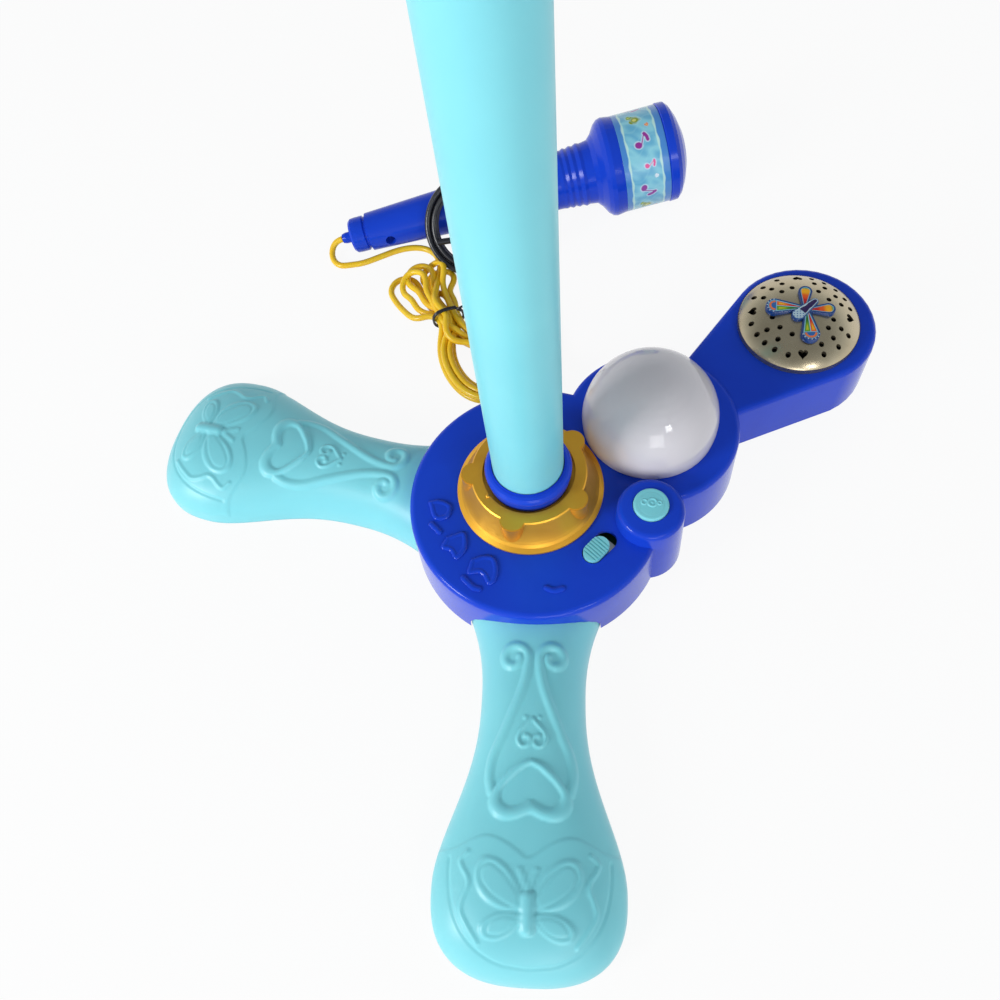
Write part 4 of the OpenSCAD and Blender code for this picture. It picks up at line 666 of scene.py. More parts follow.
def finish(name, colour, shade, amount=0.5, marks=14.0, rough=0.3, spread=0.1, patches=30.0,
           grain=(900.0, 0.0),
           ripple=(60.0, 0.0), painted=None, **shader):
    """A material: toned colour, or the colours painted on the piece's own attribute, handled roughness and
    fine grain; the other arguments are the Principled shader's own plain sockets."""
    made = bpy.data.materials.new(name)
    made.use_nodes = True
    made.diffuse_color = colour
    tree = made.node_tree
    bsdf = tree.nodes["Principled BSDF"]
    if painted:
        paint = node(tree, "VertexColor", layer_name=painted)
        tree.links.new(paint.outputs["Color"], bsdf.inputs["Base Color"])
    else:
        tone = node(tree, "Group", {"Colour": colour, "Shade": shade, "Scale": marks, "Amount": amount},
                    node_tree=TONED)
        tree.links.new(tone.outputs["Colour"], bsdf.inputs["Base Color"])
    touch = node(tree, "Group", {"Plain": rough, "Spread": spread, "Scale": patches}, node_tree=HANDLED)
    tree.links.new(touch.outputs["Roughness"], bsdf.inputs["Roughness"])
    skin = node(tree, "Group", {"Scale": grain[0], "Height": grain[1], "Ripple Scale": ripple[0],
                                "Ripple": ripple[1]}, node_tree=GRAIN)
    tree.links.new(skin.outputs["Normal"], bsdf.inputs["Normal"])
    for label, value in shader.items():
        bsdf.inputs[label.replace("_", " ")].default_value = value
    return made


FINISHES = {
    "hub_blue": finish("royal blue plastic", linear(24, 68, 204), linear(18, 52, 182), amount=0.5, rough=0.17,
                       spread=0.08, ripple=(26.0, 0.00012), IOR=1.46, Specular_IOR_Level=0.2),
    "light_blue": finish("sky blue plastic", linear(132, 214, 223), linear(122, 204, 217), amount=0.6,
                         rough=0.36,
                         spread=0.1, grain=(1500.0, 0.00001), ripple=(22.0, 0.0001), IOR=1.46,
                         Specular_IOR_Level=0.4, Subsurface_Weight=0.12, Subsurface_Radius=(0.6, 1.0, 1.0),
                         Subsurface_Scale=0.002),
    "gold": finish("satin gold lacquer", linear(242, 182, 58), linear(212, 146, 42), amount=0.6, marks=30.0,
                   rough=0.38, spread=0.14, grain=(2400.0, 0.00002), Metallic=0.7, IOR=1.5),
    "milky": finish("milky dome plastic", linear(214, 208, 213), linear(202, 196, 203), amount=0.5,
                    rough=0.09,
                    spread=0.05, ripple=(18.0, 0.0001), IOR=1.5, Subsurface_Weight=0.35,
                    Subsurface_Radius=(1.0, 0.9, 0.95), Subsurface_Scale=0.006),
    "champagne": finish("champagne lacquer", linear(194, 181, 154), linear(164, 151, 124), amount=0.6,
                        marks=40.0,
                        rough=0.27, spread=0.1, grain=(2600.0, 0.00001), Metallic=0.92, IOR=1.5),
    "steel": finish("bright steel", linear(196, 198, 202), linear(150, 152, 158), amount=0.6, marks=60.0,
                    rough=0.3,
                    spread=0.14, patches=90.0, grain=(1800.0, 0.00001), Metallic=1.0),
    "board": finish("board lacquer", linear(24, 96, 58), linear(14, 72, 44), amount=0.7, marks=90.0,
                    rough=0.45,
                    spread=0.1, grain=(1200.0, 0.00002)),
    "led": finish("clear lamp resin", linear(240, 240, 228), linear(216, 216, 200), rough=0.12, spread=0.04),
    "cone": finish("pressed paper", linear(36, 36, 38), linear(22, 22, 24), amount=0.8, marks=120.0,
                   rough=0.85,
                   spread=0.1, grain=(1400.0, 0.00008)),
    "ferrite": finish("ferrite", linear(62, 62, 66), linear(44, 44, 48), amount=0.8, marks=80.0, rough=0.6,
                      spread=0.2, grain=(900.0, 0.00008), Metallic=0.3),
    "print": finish("printed plastic", linear(120, 190, 215), linear(90, 160, 200), rough=0.2, spread=0.06,
                    painted="print", IOR=1.5, Specular_IOR_Level=0.35, Coat_Weight=0.25, Coat_Roughness=0.06),
    "cord_yellow": finish("yellow cord sleeve", linear(250, 208, 36), linear(238, 182, 24), amount=0.7,
                          marks=40.0,
                          rough=0.3, spread=0.1, grain=(700.0, 0.00003), IOR=1.5, Specular_IOR_Level=0.5,
                          Subsurface_Weight=0.1, Subsurface_Radius=(1.0, 0.7, 0.1), Subsurface_Scale=0.001),
    "black": finish("black cord sleeve", linear(30, 31, 38), linear(18, 19, 24), amount=0.7, marks=40.0,
                    rough=0.26,
                    spread=0.1, grain=(700.0, 0.00003), IOR=1.5),
    "cell": finish("cell wrap", linear(40, 92, 160), linear(24, 60, 120), amount=0.5, marks=50.0, rough=0.28,
                   spread=0.1, Metallic=0.3),
}

for row in frame["record"]["subparts"]:
    carried = nodes[row["node"]]
    for place in carried.material_slots:
        place.material = FINISHES[row["material_slot"]]
for piece in feet:
    piece.data.materials.append(FINISHES["light_blue"])
yellow_cord.data.materials.append(FINISHES["cord_yellow"])
black_cord.data.materials.append(FINISHES["black"])


def dress(piece, body, slot, source=None):
    """Gives a piece its slot's finish and has it ride on a body and, where asked, stand for a CAD node."""
    piece.data.materials.clear()
    piece.data.materials.append(FINISHES[slot])
    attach(piece, body)
    if source:
        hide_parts(source)


# ---------------------------------------------------------------- painted pieces
def over(paint, mask, *colour):
    """Lays a colour over a painting where the mask is one."""
    m = np.clip(mask, 0, 1)[..., None]
    return paint * (1 - m) + screen(*colour) * m


def spot(distance, radius, soft=0.22):
    """One inside a radius, nought outside it, with a soft edge."""
    return ease((radius - distance) / soft + 0.5)


def put_paint(piece, paint):
    """Puts a painting into the piece's own colour attribute."""
    layer = piece.data.color_attributes.new("print", "FLOAT_COLOR", "POINT")
    rgba = np.ones((len(piece.data.vertices), 4))
    rgba[:, :3] = paint.reshape(-1, 3)
    layer.data.foreach_set("color", rgba.ravel())


# ---------------------------------------------------------------- microphone's printed band
MIC_AT = np.array([-114.0, 182.1, 9.69])
MIC_TILT, MIC_TURN = 6.41, 11.6
BAND_START, BAND_L, BAND_R, BAND_WALL, BAND_RINGS = 163.3, 25.4, 26.74, 0.7, 86


def on_mic(points):
    """Points in the microphone's own frame, X along it from its tail, set down where it lies."""
    turn = np.array(Matrix.Rotation(np.radians(MIC_TURN), 3, "Z") @ Matrix.Rotation(-np.radians(MIC_TILT),
                                                                                    3, "Y"))
    return np.asarray(points) @ turn.T + MIC_AT


def note(paint, x, y, at, size, lean, colour):
    """A quaver: an oval head, a straight stem and a flag, turned by an angle, with a pale halo round them."""
    c, s = np.cos(np.radians(lean)), np.sin(np.radians(lean))
    a = ((x - at[0]) * c + (y - at[1]) * s) / size
    b = (-(x - at[0]) * s + (y - at[1]) * c) / size
    head = np.hypot(a / 1.15, b) - 1
    stem = line_distance(np.array([(0.9, -0.2), (0.9, -4.2)]), a, b) - 0.16
    flag = line_distance(np.array([(1.0, -4.0), (1.9, -3.3), (2.5, -2.3)]), a, b) - 0.52
    shape = np.minimum(np.minimum(head, stem), flag) * size
    paint = over(paint, 0.8 * spot(shape, 0.55, 0.6), 205, 222, 240)
    return over(paint, spot(shape, 0.0), *colour)


def small_heart(paint, x, y, at, size, lean, colour, core):
    """A heart drawn by (a^2 + b^2 - 1)^3 = a^2 b^3, with a pale halo and a core of its own colour."""
    c, s = np.cos(np.radians(lean)), np.sin(np.radians(lean))
    a = ((x - at[0]) * c + (y - at[1]) * s) / size
    b = -(-(x - at[0]) * s + (y - at[1]) * c) / size
    body = (a * a + b * b - 1) ** 3 - a * a * b ** 3
    paint = over(paint, 0.7 * ease(0.6 - body * 0.35), 190, 225, 225)
    paint = over(paint, ease(0.5 - body * 2.2), *colour)
    return over(paint, spot(np.hypot(a + 0.05, b - 0.12), 0.42, 0.2), *core)


def band_paint(x, y):
    """A watery sky-blue ground with quavers and hearts, between two wavy pale lines with blue beyond."""
    flow = 0.5 + 0.5 * np.sin(0.33 * y + 1.5 * np.sin(0.31 * x + 0.12 * y) + 0.9 * np.sin(0.71 * y - 0.6 * x))
    paint = over(np.broadcast_to(screen(104, 176, 208), x.shape + (3,)), flow, 140, 206, 222)
    streak = np.clip(np.sin(0.9 * y + 2.2 * np.sin(0.4 * x + 1.0) + 0.5 * x) - 0.72, 0, 1) * 2.2
    paint = over(paint, 0.35 * streak, 160, 218, 228)
    for edge, side in ((3.1, 1), (21.7, -1)):
        line = edge + 0.16 * np.sin(y / 2.9) + 0.1 * np.sin(y / 1.1 + 1.0)
        paint = over(paint, ease(side * (line - x) / 0.3 + 0.5), 74, 136, 204)
        paint = over(paint, 0.85 * spot(np.abs(x - line - 0.5 * side), 0.5 + 0.2 * np.sin(y / 1.7), 0.5),
                     196, 232, 220)
    k = np.radians(BAND_R)
    for turn in range(0, 360, 120):
        def at(across, angle):
            return across, k * ((angle + turn) % 360)
        paint = small_heart(paint, x, y, at(11.8, 86), 2.7, -80, (132, 150, 22), (216, 214, 120))
        paint = note(paint, x, y, at(10.3, 121), 1.75, 22, (150, 52, 146))
        paint = note(paint, x, y, at(12.9, 146), 1.15, 48, (226, 78, 146))
        paint = small_heart(paint, x, y, at(17.4, 160), 0.95, 30, (236, 240, 246), (206, 226, 240))
        paint = note(paint, x, y, at(9.8, 172), 1.75, 108, (146, 58, 150))
        paint = small_heart(paint, x, y, at(8.6, 200), 1.5, 40, (120, 160, 30), (190, 206, 90))
        paint = small_heart(paint, x, y, at(17.2, 98), 1.0, -20, (232, 120, 60), (246, 190, 110))
    return paint


x_band = np.r_[np.linspace(0, BAND_L, BAND_RINGS), BAND_L, 0]
r_band = np.r_[np.full(BAND_RINGS, BAND_R), BAND_R - BAND_WALL, BAND_R - BAND_WALL]
a_band = np.linspace(0, 2 * np.pi, 560, endpoint=False)
grid_x, grid_a = np.meshgrid(x_band, a_band, indexing="ij")
ring = np.stack([BAND_START + grid_x, r_band[:, None] * np.cos(grid_a), r_band[:, None] * np.sin(grid_a)],
                axis=2)
band = mesh_piece("printed_band", on_mic(ring.reshape(-1, 3)), grid_faces(*grid_x.shape, True, True))
put_paint(band, band_paint(grid_x, BAND_R * grid_a))
dress(band, "microphone", "print", "mic_band")

# ---------------------------------------------------------------- speaker grille
HOLES = ((24.9, (9, 24, 40, 56, 71, 112, 132, 151, 190, 206, 220, 234, 250, 290, 310, 330)),
         (20.4, (14, 30, 50, 66, 112, 130, 150, 209, 230, 291, 311, 331)),
         (15.3, (27, 53, 103, 125, 193, 219, 245, 317, 339)))
HEARTS = (-6, 88, 173, 266)
HOLE_R, HEART_AT, HEART_SIZE = 1.3, 23.6, 2.5
GRILLE_EDGE, GRILLE_WALL, GRILLE_FOOT = 34.5, 1.3, 31.62


def grille_height(r):
    """Height of the pressed dome at radius r: e + h (1 - (r / R)^2.6)^0.8 over its rim."""
    k = np.clip(1 - (r / GRILLE_R) ** 2.6, 0, None)
    return GRILLE_EDGE - 0.4 + (GRILLE_RISE + 0.4) * k ** 0.8


def upright(outline, low, high):
    """A closed prism over an outline, its points running anticlockwise, from one height to another."""
    n = len(outline)
    v = np.concatenate([np.c_[outline, np.full(n, low)], np.c_[outline, np.full(n, high)]])
    k = np.arange(n)
    sides = np.stack([k, (k + 1) % n, (k + 1) % n + n, k + n], axis=1).tolist()
    return v, sides + [list(range(n))[::-1], list(range(n, 2 * n))]


def heart_outline(size, count=48):
    """A heart, run anticlockwise:
    (x, y) = size (16 sin^3 t, 13 cos t - 5 cos 2t - 2 cos 3t - cos 4t) / 17."""
    t = -np.linspace(0, 2 * np.pi, count, endpoint=False)
    return size / 17 * np.stack([16 * np.sin(t) ** 3, 13 * np.cos(t) - 5 * np.cos(2 * t) - 2 * np.cos(3 * t)
                                 - np.cos(4 * t)], axis=1)


def cutters():
    """The prisms that cut the grille's round and heart-shaped holes, as one mesh."""
    vertices, faces, count = [], [], 0
    t = np.linspace(0, 2 * np.pi, 28, endpoint=False)
    rim = np.stack([np.cos(t), np.sin(t)], axis=1)
    shapes = [(GRILLE_C + r * heading(a), rim * HOLE_R) for r, angles in HOLES for a in angles]
    for a in HEARTS:
        turn = np.radians(a - 90)
        spin = np.array([[np.cos(turn), -np.sin(turn)], [np.sin(turn), np.cos(turn)]])
        shapes.append((GRILLE_C + HEART_AT * heading(a), heart_outline(HEART_SIZE) * (1, -1) @ spin.T))
    for centre, outline in shapes:
        area = np.sum(outline[:, 0] * np.roll(outline[:, 1], -1) - outline[:, 1] * np.roll(outline[:, 0], -1))
        v, f = upright((outline if area > 0 else outline[::-1]) + centre, 30.0, 50.0)
        vertices.append(v)
        faces += [[k + count for k in face] for face in f]
        count += len(v)
    return np.vstack(vertices), faces


r_out = GRILLE_R * np.sin(np.linspace(0, np.pi / 2, 40))[1:]
outside = np.stack([r_out, grille_height(r_out)], axis=1)
outside[-1, 1] = GRILLE_EDGE
inside = np.stack([outside[:, 0] * (GRILLE_R - GRILLE_WALL) / GRILLE_R, outside[:, 1] - GRILLE_WALL],
                  axis=1)[::-1]
profile = np.vstack([[(0.02, outside[0, 1])], outside,
                     [(GRILLE_R, GRILLE_FOOT), (GRILLE_R - GRILLE_WALL, GRILLE_FOOT)],
                     inside, [(0.02, inside[-1, 1])]])
grille = mesh_piece("grille", *turned(profile, sides=180, centre=GRILLE_C, closed=True))
finish_mesh(grille, merge=0.03)
cutter = mesh_piece("grille_cutter", *cutters())
finish_mesh(cutter)
hole = grille.modifiers.new("holes", "BOOLEAN")
hole.object = cutter
hole.operation = "DIFFERENCE"
hole.solver = "EXACT"
pierced = bpy.data.meshes.new_from_object(grille.evaluated_get(bpy.context.evaluated_depsgraph_get()))
grille.modifiers.clear()
grille.data = pierced
grille.data.polygons.foreach_set("use_smooth", np.full(len(pierced.polygons), True))
grille.data.set_sharp_from_angle(angle=np.radians(32))
bpy.data.objects.remove(cutter)
dress(grille, "base", "champagne", "speaker_grille")

# ---------------------------------------------------------------- butterfly on the grille
BADGE_Z, BADGE_TURN = 44.1, 222


def round_ended(near, far, near_r, far_r, count=250):
    """The outline round two circles: for each outward direction the circle that reaches farther that way,
    spaced evenly along it."""
    a = np.linspace(0, 2 * np.pi, 4000, endpoint=False)
    d = np.stack([np.cos(a), np.sin(a)], axis=1)
    near, far = np.array(near, float), np.array(far, float)
    first = (d @ near + near_r) > (d @ far + far_r)
    line = np.where(first[:, None], near + near_r * d, far + far_r * d)
    line = np.vstack([line, line[:1]])
    run = np.r_[0, np.cumsum(np.linalg.norm(np.diff(line, axis=0), axis=1))]
    at = np.linspace(0, run[-1], count, endpoint=False)
    return np.stack([np.interp(at, run, line[:, 0]), np.interp(at, run, line[:, 1])], axis=1)


def wing_paint(x, y, near, far, outline, large):
    """A dark rim with a light line inside it. A large wing has a blue ground, a cell from red to yellow and
    one from green to yellow, and seven orange spots and seven pale dots round its end. A small wing runs
    from red through orange and yellow to green."""
    axis = np.array(far, float) - near
    length = np.linalg.norm(axis)
    axis /= length
    a = ((x - near[0]) * axis[0] + (y - near[1]) * axis[1]) / length
    b = (x - near[0]) * -axis[1] + (y - near[1]) * axis[0]
    side = np.sign(far[1])
    edge = line_distance(np.vstack([outline, outline[:1]]), x, y)
    paint = np.broadcast_to(screen(26, 62, 124), x.shape + (3,))
    paint = over(paint, ease((edge - 0.9) / 0.2), 132, 204, 226)
    cell = ease((edge - 1.2) / 0.2)
    if large:
        paint = over(paint, cell, 44, 104, 172)
        half = 0.18 + 1.32 * a
        for beside, colours in ((1, ((200, 22, 30), (238, 92, 20), (250, 190, 24))),
                                (-1, ((40, 112, 32), (96, 158, 34), (196, 196, 40)))):
            depth = np.minimum(half - np.abs(b * side * beside - half - 0.16), (0.95 - a) * length * 0.7)
            depth = np.minimum(depth, edge - 1.3)
            paint = over(paint, ease((depth + 0.25) / 0.15), 150, 208, 226)
            shown = ease(depth / 0.15)
            paint = over(paint, shown, *colours[0])
            paint = over(paint, shown * ease((a - 0.35) / 0.25), *colours[1])
            paint = over(paint, shown * ease((depth - 0.5) / 0.4) * ease((a - 0.5) / 0.2), *colours[2])
        across = np.array([-axis[1], axis[0]])
        for k in range(7):
            t = np.radians(-78 + 26 * k)
            out = axis * np.cos(t) + across * np.sin(t)
            orange, dot = np.array(far) + out * 2.5, np.array(far) + out * 3.95
            paint = over(paint, spot(np.hypot(x - orange[0], y - orange[1]), 0.6), 240, 124, 50)
            paint = over(paint, spot(np.hypot(x - dot[0], y - dot[1]), 0.26), 226, 238, 244)
    else:
        paint = over(paint, cell, 200, 22, 30)
        paint = over(paint, cell * ease((a - 0.35) / 0.3), 238, 92, 20)
        paint = over(paint, cell * ease((a - 0.68) / 0.25), 250, 176, 20)
        paint = over(paint, cell * ease((a - 1.08) / 0.14), 104, 166, 92)
    return paint


def body_paint(x, y, outline):
    """A dark violet body and a light head with blue flecks, inside a light line and a blue rim."""
    edge = line_distance(np.vstack([outline, outline[:1]]), x, y)
    paint = np.broadcast_to(screen(34, 78, 140), x.shape + (3,))
    paint = over(paint, ease((edge - 0.4) / 0.2), 188, 212, 222)
    long = (np.abs(y) < 1.5 + 0.3 * np.sin(x)) * (x < 2.6)
    paint = over(paint, ease((edge - 0.75) / 0.2) * long, 42, 20, 84)
    fleck = np.clip(np.sin(2.9 * x + 1.3) * np.sin(3.3 * y + 0.4) - 0.35, 0, 1) * 3 * (x > 2.4)
    return over(paint, fleck, 64, 104, 168)


def leaf(outline, centre, paint_of, raise_by=0.0, rings=36):
    """A low pillow over a closed outline, as rings drawn in towards a centre: a straight wall down to the
    grille, a raised rim, a shallow groove inside it and a slight crown. Returns points and painting."""
    p = np.r_[1.0, 1.0, 1 - np.linspace(0.02, 0.999, rings)]
    xy = centre + p[:, None, None] * (outline - centre)
    edge = line_distance(np.vstack([outline, outline[:1]]), xy[..., 0], xy[..., 1])
    z = 1.15 + 0.28 * ease(edge / 0.35) - 0.22 * ease((edge - 0.75) / 0.3)
    z = z + 0.12 * ease((edge - 1.2) / 1.2) + raise_by
    z[1] = 1.02 + raise_by
    z[0] = -1.6
    paint = np.array(paint_of(xy[..., 0], xy[..., 1]))
    paint[:2] = screen(26, 62, 124)
    return np.concatenate([xy, z[..., None]], axis=2), paint


badge_points, badge_faces, badge_colours, count = [], [], [], 0
parts = []
for side in (-1, 1):
    parts.append(((1, 2 * side), (9.2, 11.4 * side), 1.8, 4.5, True))
    parts.append(((-1, 1.5 * side), (-8.2, 7.4 * side), 1.5, 3.4, False))
for near, far, near_r, far_r, large in parts:
    edge_line = round_ended(near, far, near_r, far_r)
    middle = np.array(near) * 0.45 + np.array(far) * 0.55
    p, paint = leaf(edge_line, middle, lambda x, y: wing_paint(x, y, near, far, edge_line, large))
    badge_points.append(p)
    badge_colours.append(paint)
edge_line = round_ended((-6.6, 0), (5.4, 0), 1.8, 3.2)
p, paint = leaf(edge_line, np.array([0.4, 0.0]), lambda x, y: body_paint(x, y, edge_line), raise_by=0.35)
badge_points.append(p)
badge_colours.append(paint)
turned_by = np.array(Matrix.Rotation(np.radians(BADGE_TURN), 3, "Z"))
shift = np.array([*GRILLE_C, BADGE_Z]) + np.array(axes[:3, 0]) * 0.9 - (0, 0.6, 0)
for p in badge_points:
    badge_faces.append(grid_faces(p.shape[0], p.shape[1], False, True) + count)
    count += p.shape[0] * p.shape[1]
badge = mesh_piece("butterfly", np.vstack([p.reshape(-1, 3) for p in badge_points]) @ turned_by.T + shift,
                   np.vstack(badge_faces))
put_paint(badge, np.vstack([c.reshape(-1, 3) for c in badge_colours]))
dress(badge, "base", "print", "butterfly_badge")

# ---------------------------------------------------------------- hearts on the deck
def deck_relief(x, y):
    """Height of the moulded hearts and curls over the deck: low plateaus with a groove along their edge."""
    h = np.zeros(x.shape)
    hearts = ([(-26, -37), (-20, -35), (-15.5, -36), (-13.5, -42), (-15, -48), (-17.5, -49), (-20, -45),
               (-22, -43.5),
               (-27, -44)],
              [(-38, -26), (-30, -23.5), (-28.5, -27), (-29, -33), (-33, -37), (-36, -33), (-40, -31.5)],
              [(-48, -8), (-43, -7), (-37, -10), (-38, -16), (-44, -17)])
    for outline in hearts:
        line = curve(np.array(outline, float), 0.5, closed=True)
        d = line_distance(line, x, y)
        inside = within(line, x, y)
        h = np.maximum(h, np.where(inside, 0.62 * ease(d / 0.7) - 0.3 * ease((d - 1.3) / 0.8), 0))
    for curl in ([(-29, -46), (-26.4, -48.6), (-24, -50.6), (-21.6, -51.2)],
                 [(-45.6, -19.6), (-43.6, -21.4), (-41.6, -23.4)],
                 [(8.6, -50.2), (12, -51.4), (15.6, -50.4)]):
        h = np.maximum(h, ridge(line_distance(curve(np.array(curl, float), 0.5), x, y), 1.2, 0.45))
    return h


r_deck, a_deck = np.meshgrid(np.linspace(36.6, 55.6, 64), np.radians(np.linspace(166, 296, 360)),
                             indexing="ij")
deck = np.stack([HUB_C[0] + r_deck * np.cos(a_deck), HUB_C[1] + r_deck * np.sin(a_deck)], axis=2)
rise = deck_relief(deck[..., 0], deck[..., 1])
top = np.concatenate([deck, (HUB_H - 0.03 + rise * 1.05)[..., None]], axis=2)
hearts = mesh_piece("deck_hearts", top.reshape(-1, 3), grid_faces(*r_deck.shape))
kept = bmesh.new()
kept.from_mesh(hearts.data)
raised = rise.ravel()
kept.verts.ensure_lookup_table()
bmesh.ops.delete(kept, geom=[v for v in kept.verts if raised[v.index] <= 0 and all(
    raised[e.other_vert(v).index] <= 0 for e in v.link_edges)], context="VERTS")
kept.to_mesh(hearts.data)
kept.free()
thick = hearts.modifiers.new("thick", "SOLIDIFY")
thick.thickness = 0.5 * MM
thick.offset = -1
dress(hearts, "base", "hub_blue")


def ring_ridge(x, y, centre, radius, width, height):
    """A rounded ridge along a circle."""
    return ridge(np.abs(np.hypot(x - centre[0], y - centre[1]) - radius), width, height)


# the button's moulded mark: a large ring with a boss inside it, and a smaller ring on each side of it
MARK_R = 5.8
r_mark, a_mark = np.meshgrid(np.linspace(0.02, MARK_R, 58), np.linspace(0, 2 * np.pi, 200, endpoint=False),
                             indexing="ij")
mark_xy = np.stack([BUTTON_C[0] + r_mark * np.cos(a_mark), BUTTON_C[1] + r_mark * np.sin(a_mark)], axis=2)
mx, my = mark_xy[..., 0] - BUTTON_C[0], mark_xy[..., 1] - BUTTON_C[1]
mark = np.maximum.reduce([
    ring_ridge(mx, my, (0.5, 0.6), 1.9, 0.7, 0.4), ring_ridge(mx, my, (-3.1, 0.9), 1.2, 0.6, 0.35),
    ring_ridge(mx, my, (3.7, 0.4), 0.8, 0.55, 0.35), ridge(np.hypot(mx - 0.5, my - 0.6), 0.8, 0.3)])
disc = np.concatenate([mark_xy, (BUTTON_TOP + 0.03 + 0.2 * (1 - r_mark / 5.85) + mark)[..., None]], axis=2)
low = disc[-1:].copy()
low[..., 2] = BUTTON_TOP - 0.3
button_mark = shape_piece("button_mark", np.vstack([disc.reshape(-1, 3), low.reshape(-1, 3)]),
                          grid_faces(len(disc) + 1, disc.shape[1], False, True), "button", "light_blue",
                          merge=0.03)
button_mark.data.materials.append(FINISHES["light_blue"])

# ---------------------------------------------------------------- smooth skins of the hub and the dome
def smooth_copy(name, source, body, slot, crease=24):
    """A copy of a faceted CAD node with its corners merged, shaded smooth up to a crease angle, the normals
    weighed by the area of the faces so that flat faces stay flat. It stands for the node."""
    skin = bpy.data.objects.new(name, nodes[source].data.copy())
    skin.data.name = name
    scene.collection.objects.link(skin)
    work = bmesh.new()
    work.from_mesh(skin.data)
    bmesh.ops.remove_doubles(work, verts=work.verts, dist=0.002 * MM)
    work.to_mesh(skin.data)
    work.free()
    skin.data.polygons.foreach_set("use_smooth", np.full(len(skin.data.polygons), True))
    if "custom_normal" in skin.data.attributes:
        skin.data.attributes.remove(skin.data.attributes["custom_normal"])
    skin.data.set_sharp_from_angle(angle=np.radians(crease))
    weigh = skin.modifiers.new("weigh", "WEIGHTED_NORMAL")
    weigh.mode = "FACE_AREA"
    weigh.weight = 60
    weigh.keep_sharp = True
    dress(skin, body, slot, source)
    return skin


hub_skin = smooth_copy("hub_skin", "hub_shell", "base", "hub_blue")
dome_skin = smooth_copy("dome_skin", "light_dome", "base", "milky")

# ---------------------------------------------------------------- wire tie round the folded cord
TIE_AT, TIE_TURN, TIE_R = np.array([-51.2, 121.4, 7.6]), 18, 0.65


def tie_route():
    """Two turns of a rounded oblong, (a c |c|^-0.5, b s |s|^-0.5) round the bundle, drawn apart by a small
    step, then two ends twisted together, which stand off to the side."""
    t = np.linspace(0.16, 2.16, 90)
    c, s = np.cos(2 * np.pi * t), np.sin(2 * np.pi * t)
    across = 8.7 * np.sign(c) * np.abs(c) ** 0.8
    up = 6.9 * np.sign(s) * np.abs(s) ** 0.8
    turn = np.stack([across, up, 0.9 * (t - 1.16)], axis=1)
    a = np.linspace(0, 5 * np.pi, 60)
    k = a / a[-1]
    start = turn[-1]
    twist = np.stack([start[0] + 2.0 + 13.0 * k, start[1] + 1.2 - 3.2 * k ** 1.6 + 0.45 * np.sin(a),
                      start[2] + 0.45 * np.cos(a) + 3.0 * k], axis=1)
    local = np.vstack([turn, twist])
    turned_by = np.array(Matrix.Rotation(np.radians(TIE_TURN), 3, "Z") @ Matrix.Rotation(np.radians(90), 3,
                                                                                         "X"))
    return local @ turned_by.T + TIE_AT


tie_path = soften(spline(tie_route(), 0.5), 3)
tie = tube("wire_tie", tie_path, TIE_R, sides=10)
dress(tie, "base", "black", "cord_tie")

# ---------------------------------------------------------------- stage
def seen_plainly(tree):
    """One for camera, glossy and transmission rays, nought for light."""
    path = node(tree, "LightPath")
    first = node(tree, "Math", operation="MAXIMUM")
    both = node(tree, "Math", operation="MAXIMUM")
    tree.links.new(path.outputs["Is Camera Ray"], first.inputs[0])
    tree.links.new(path.outputs["Is Glossy Ray"], first.inputs[1])
    tree.links.new(first.outputs[0], both.inputs[0])
    tree.links.new(path.outputs["Is Transmission Ray"], both.inputs[1])
    return both.outputs[0]


floor = mesh_piece("floor", np.array([(-6e3, -6e3, 0), (6e3, -6e3, 0), (6e3, 6e3, 0), (-6e3, 6e3, 0)]),
                   np.array([[0, 1, 2, 3]]))
paper = bpy.data.materials.new("white paper floor")
paper.use_nodes = True
tree = paper.node_tree
matt = tree.nodes["Principled BSDF"]
matt.inputs["Base Color"].default_value = (0.82, 0.82, 0.82, 1)
matt.inputs["Roughness"].default_value = 0.9
matt.inputs["Specular IOR Level"].default_value = 0.1
glow = node(tree, "Emission", {"Color": (1, 1, 1, 1), "Strength": 1.0})
share = node(tree, "Math", {1: 0.92}, operation="MULTIPLY")
mix = node(tree, "MixShader")
tree.links.new(seen_plainly(tree), share.inputs[0])
tree.links.new(share.outputs[0], mix.inputs[0])
tree.links.new(matt.outputs[0], mix.inputs[1])
tree.links.new(glow.outputs[0], mix.inputs[2])
tree.links.new(mix.outputs[0], tree.nodes["Material Output"].inputs["Surface"])
floor.data.materials.append(paper)

world = bpy.data.worlds.new("world")
scene.world = world
world.use_nodes = True
tree = world.node_tree
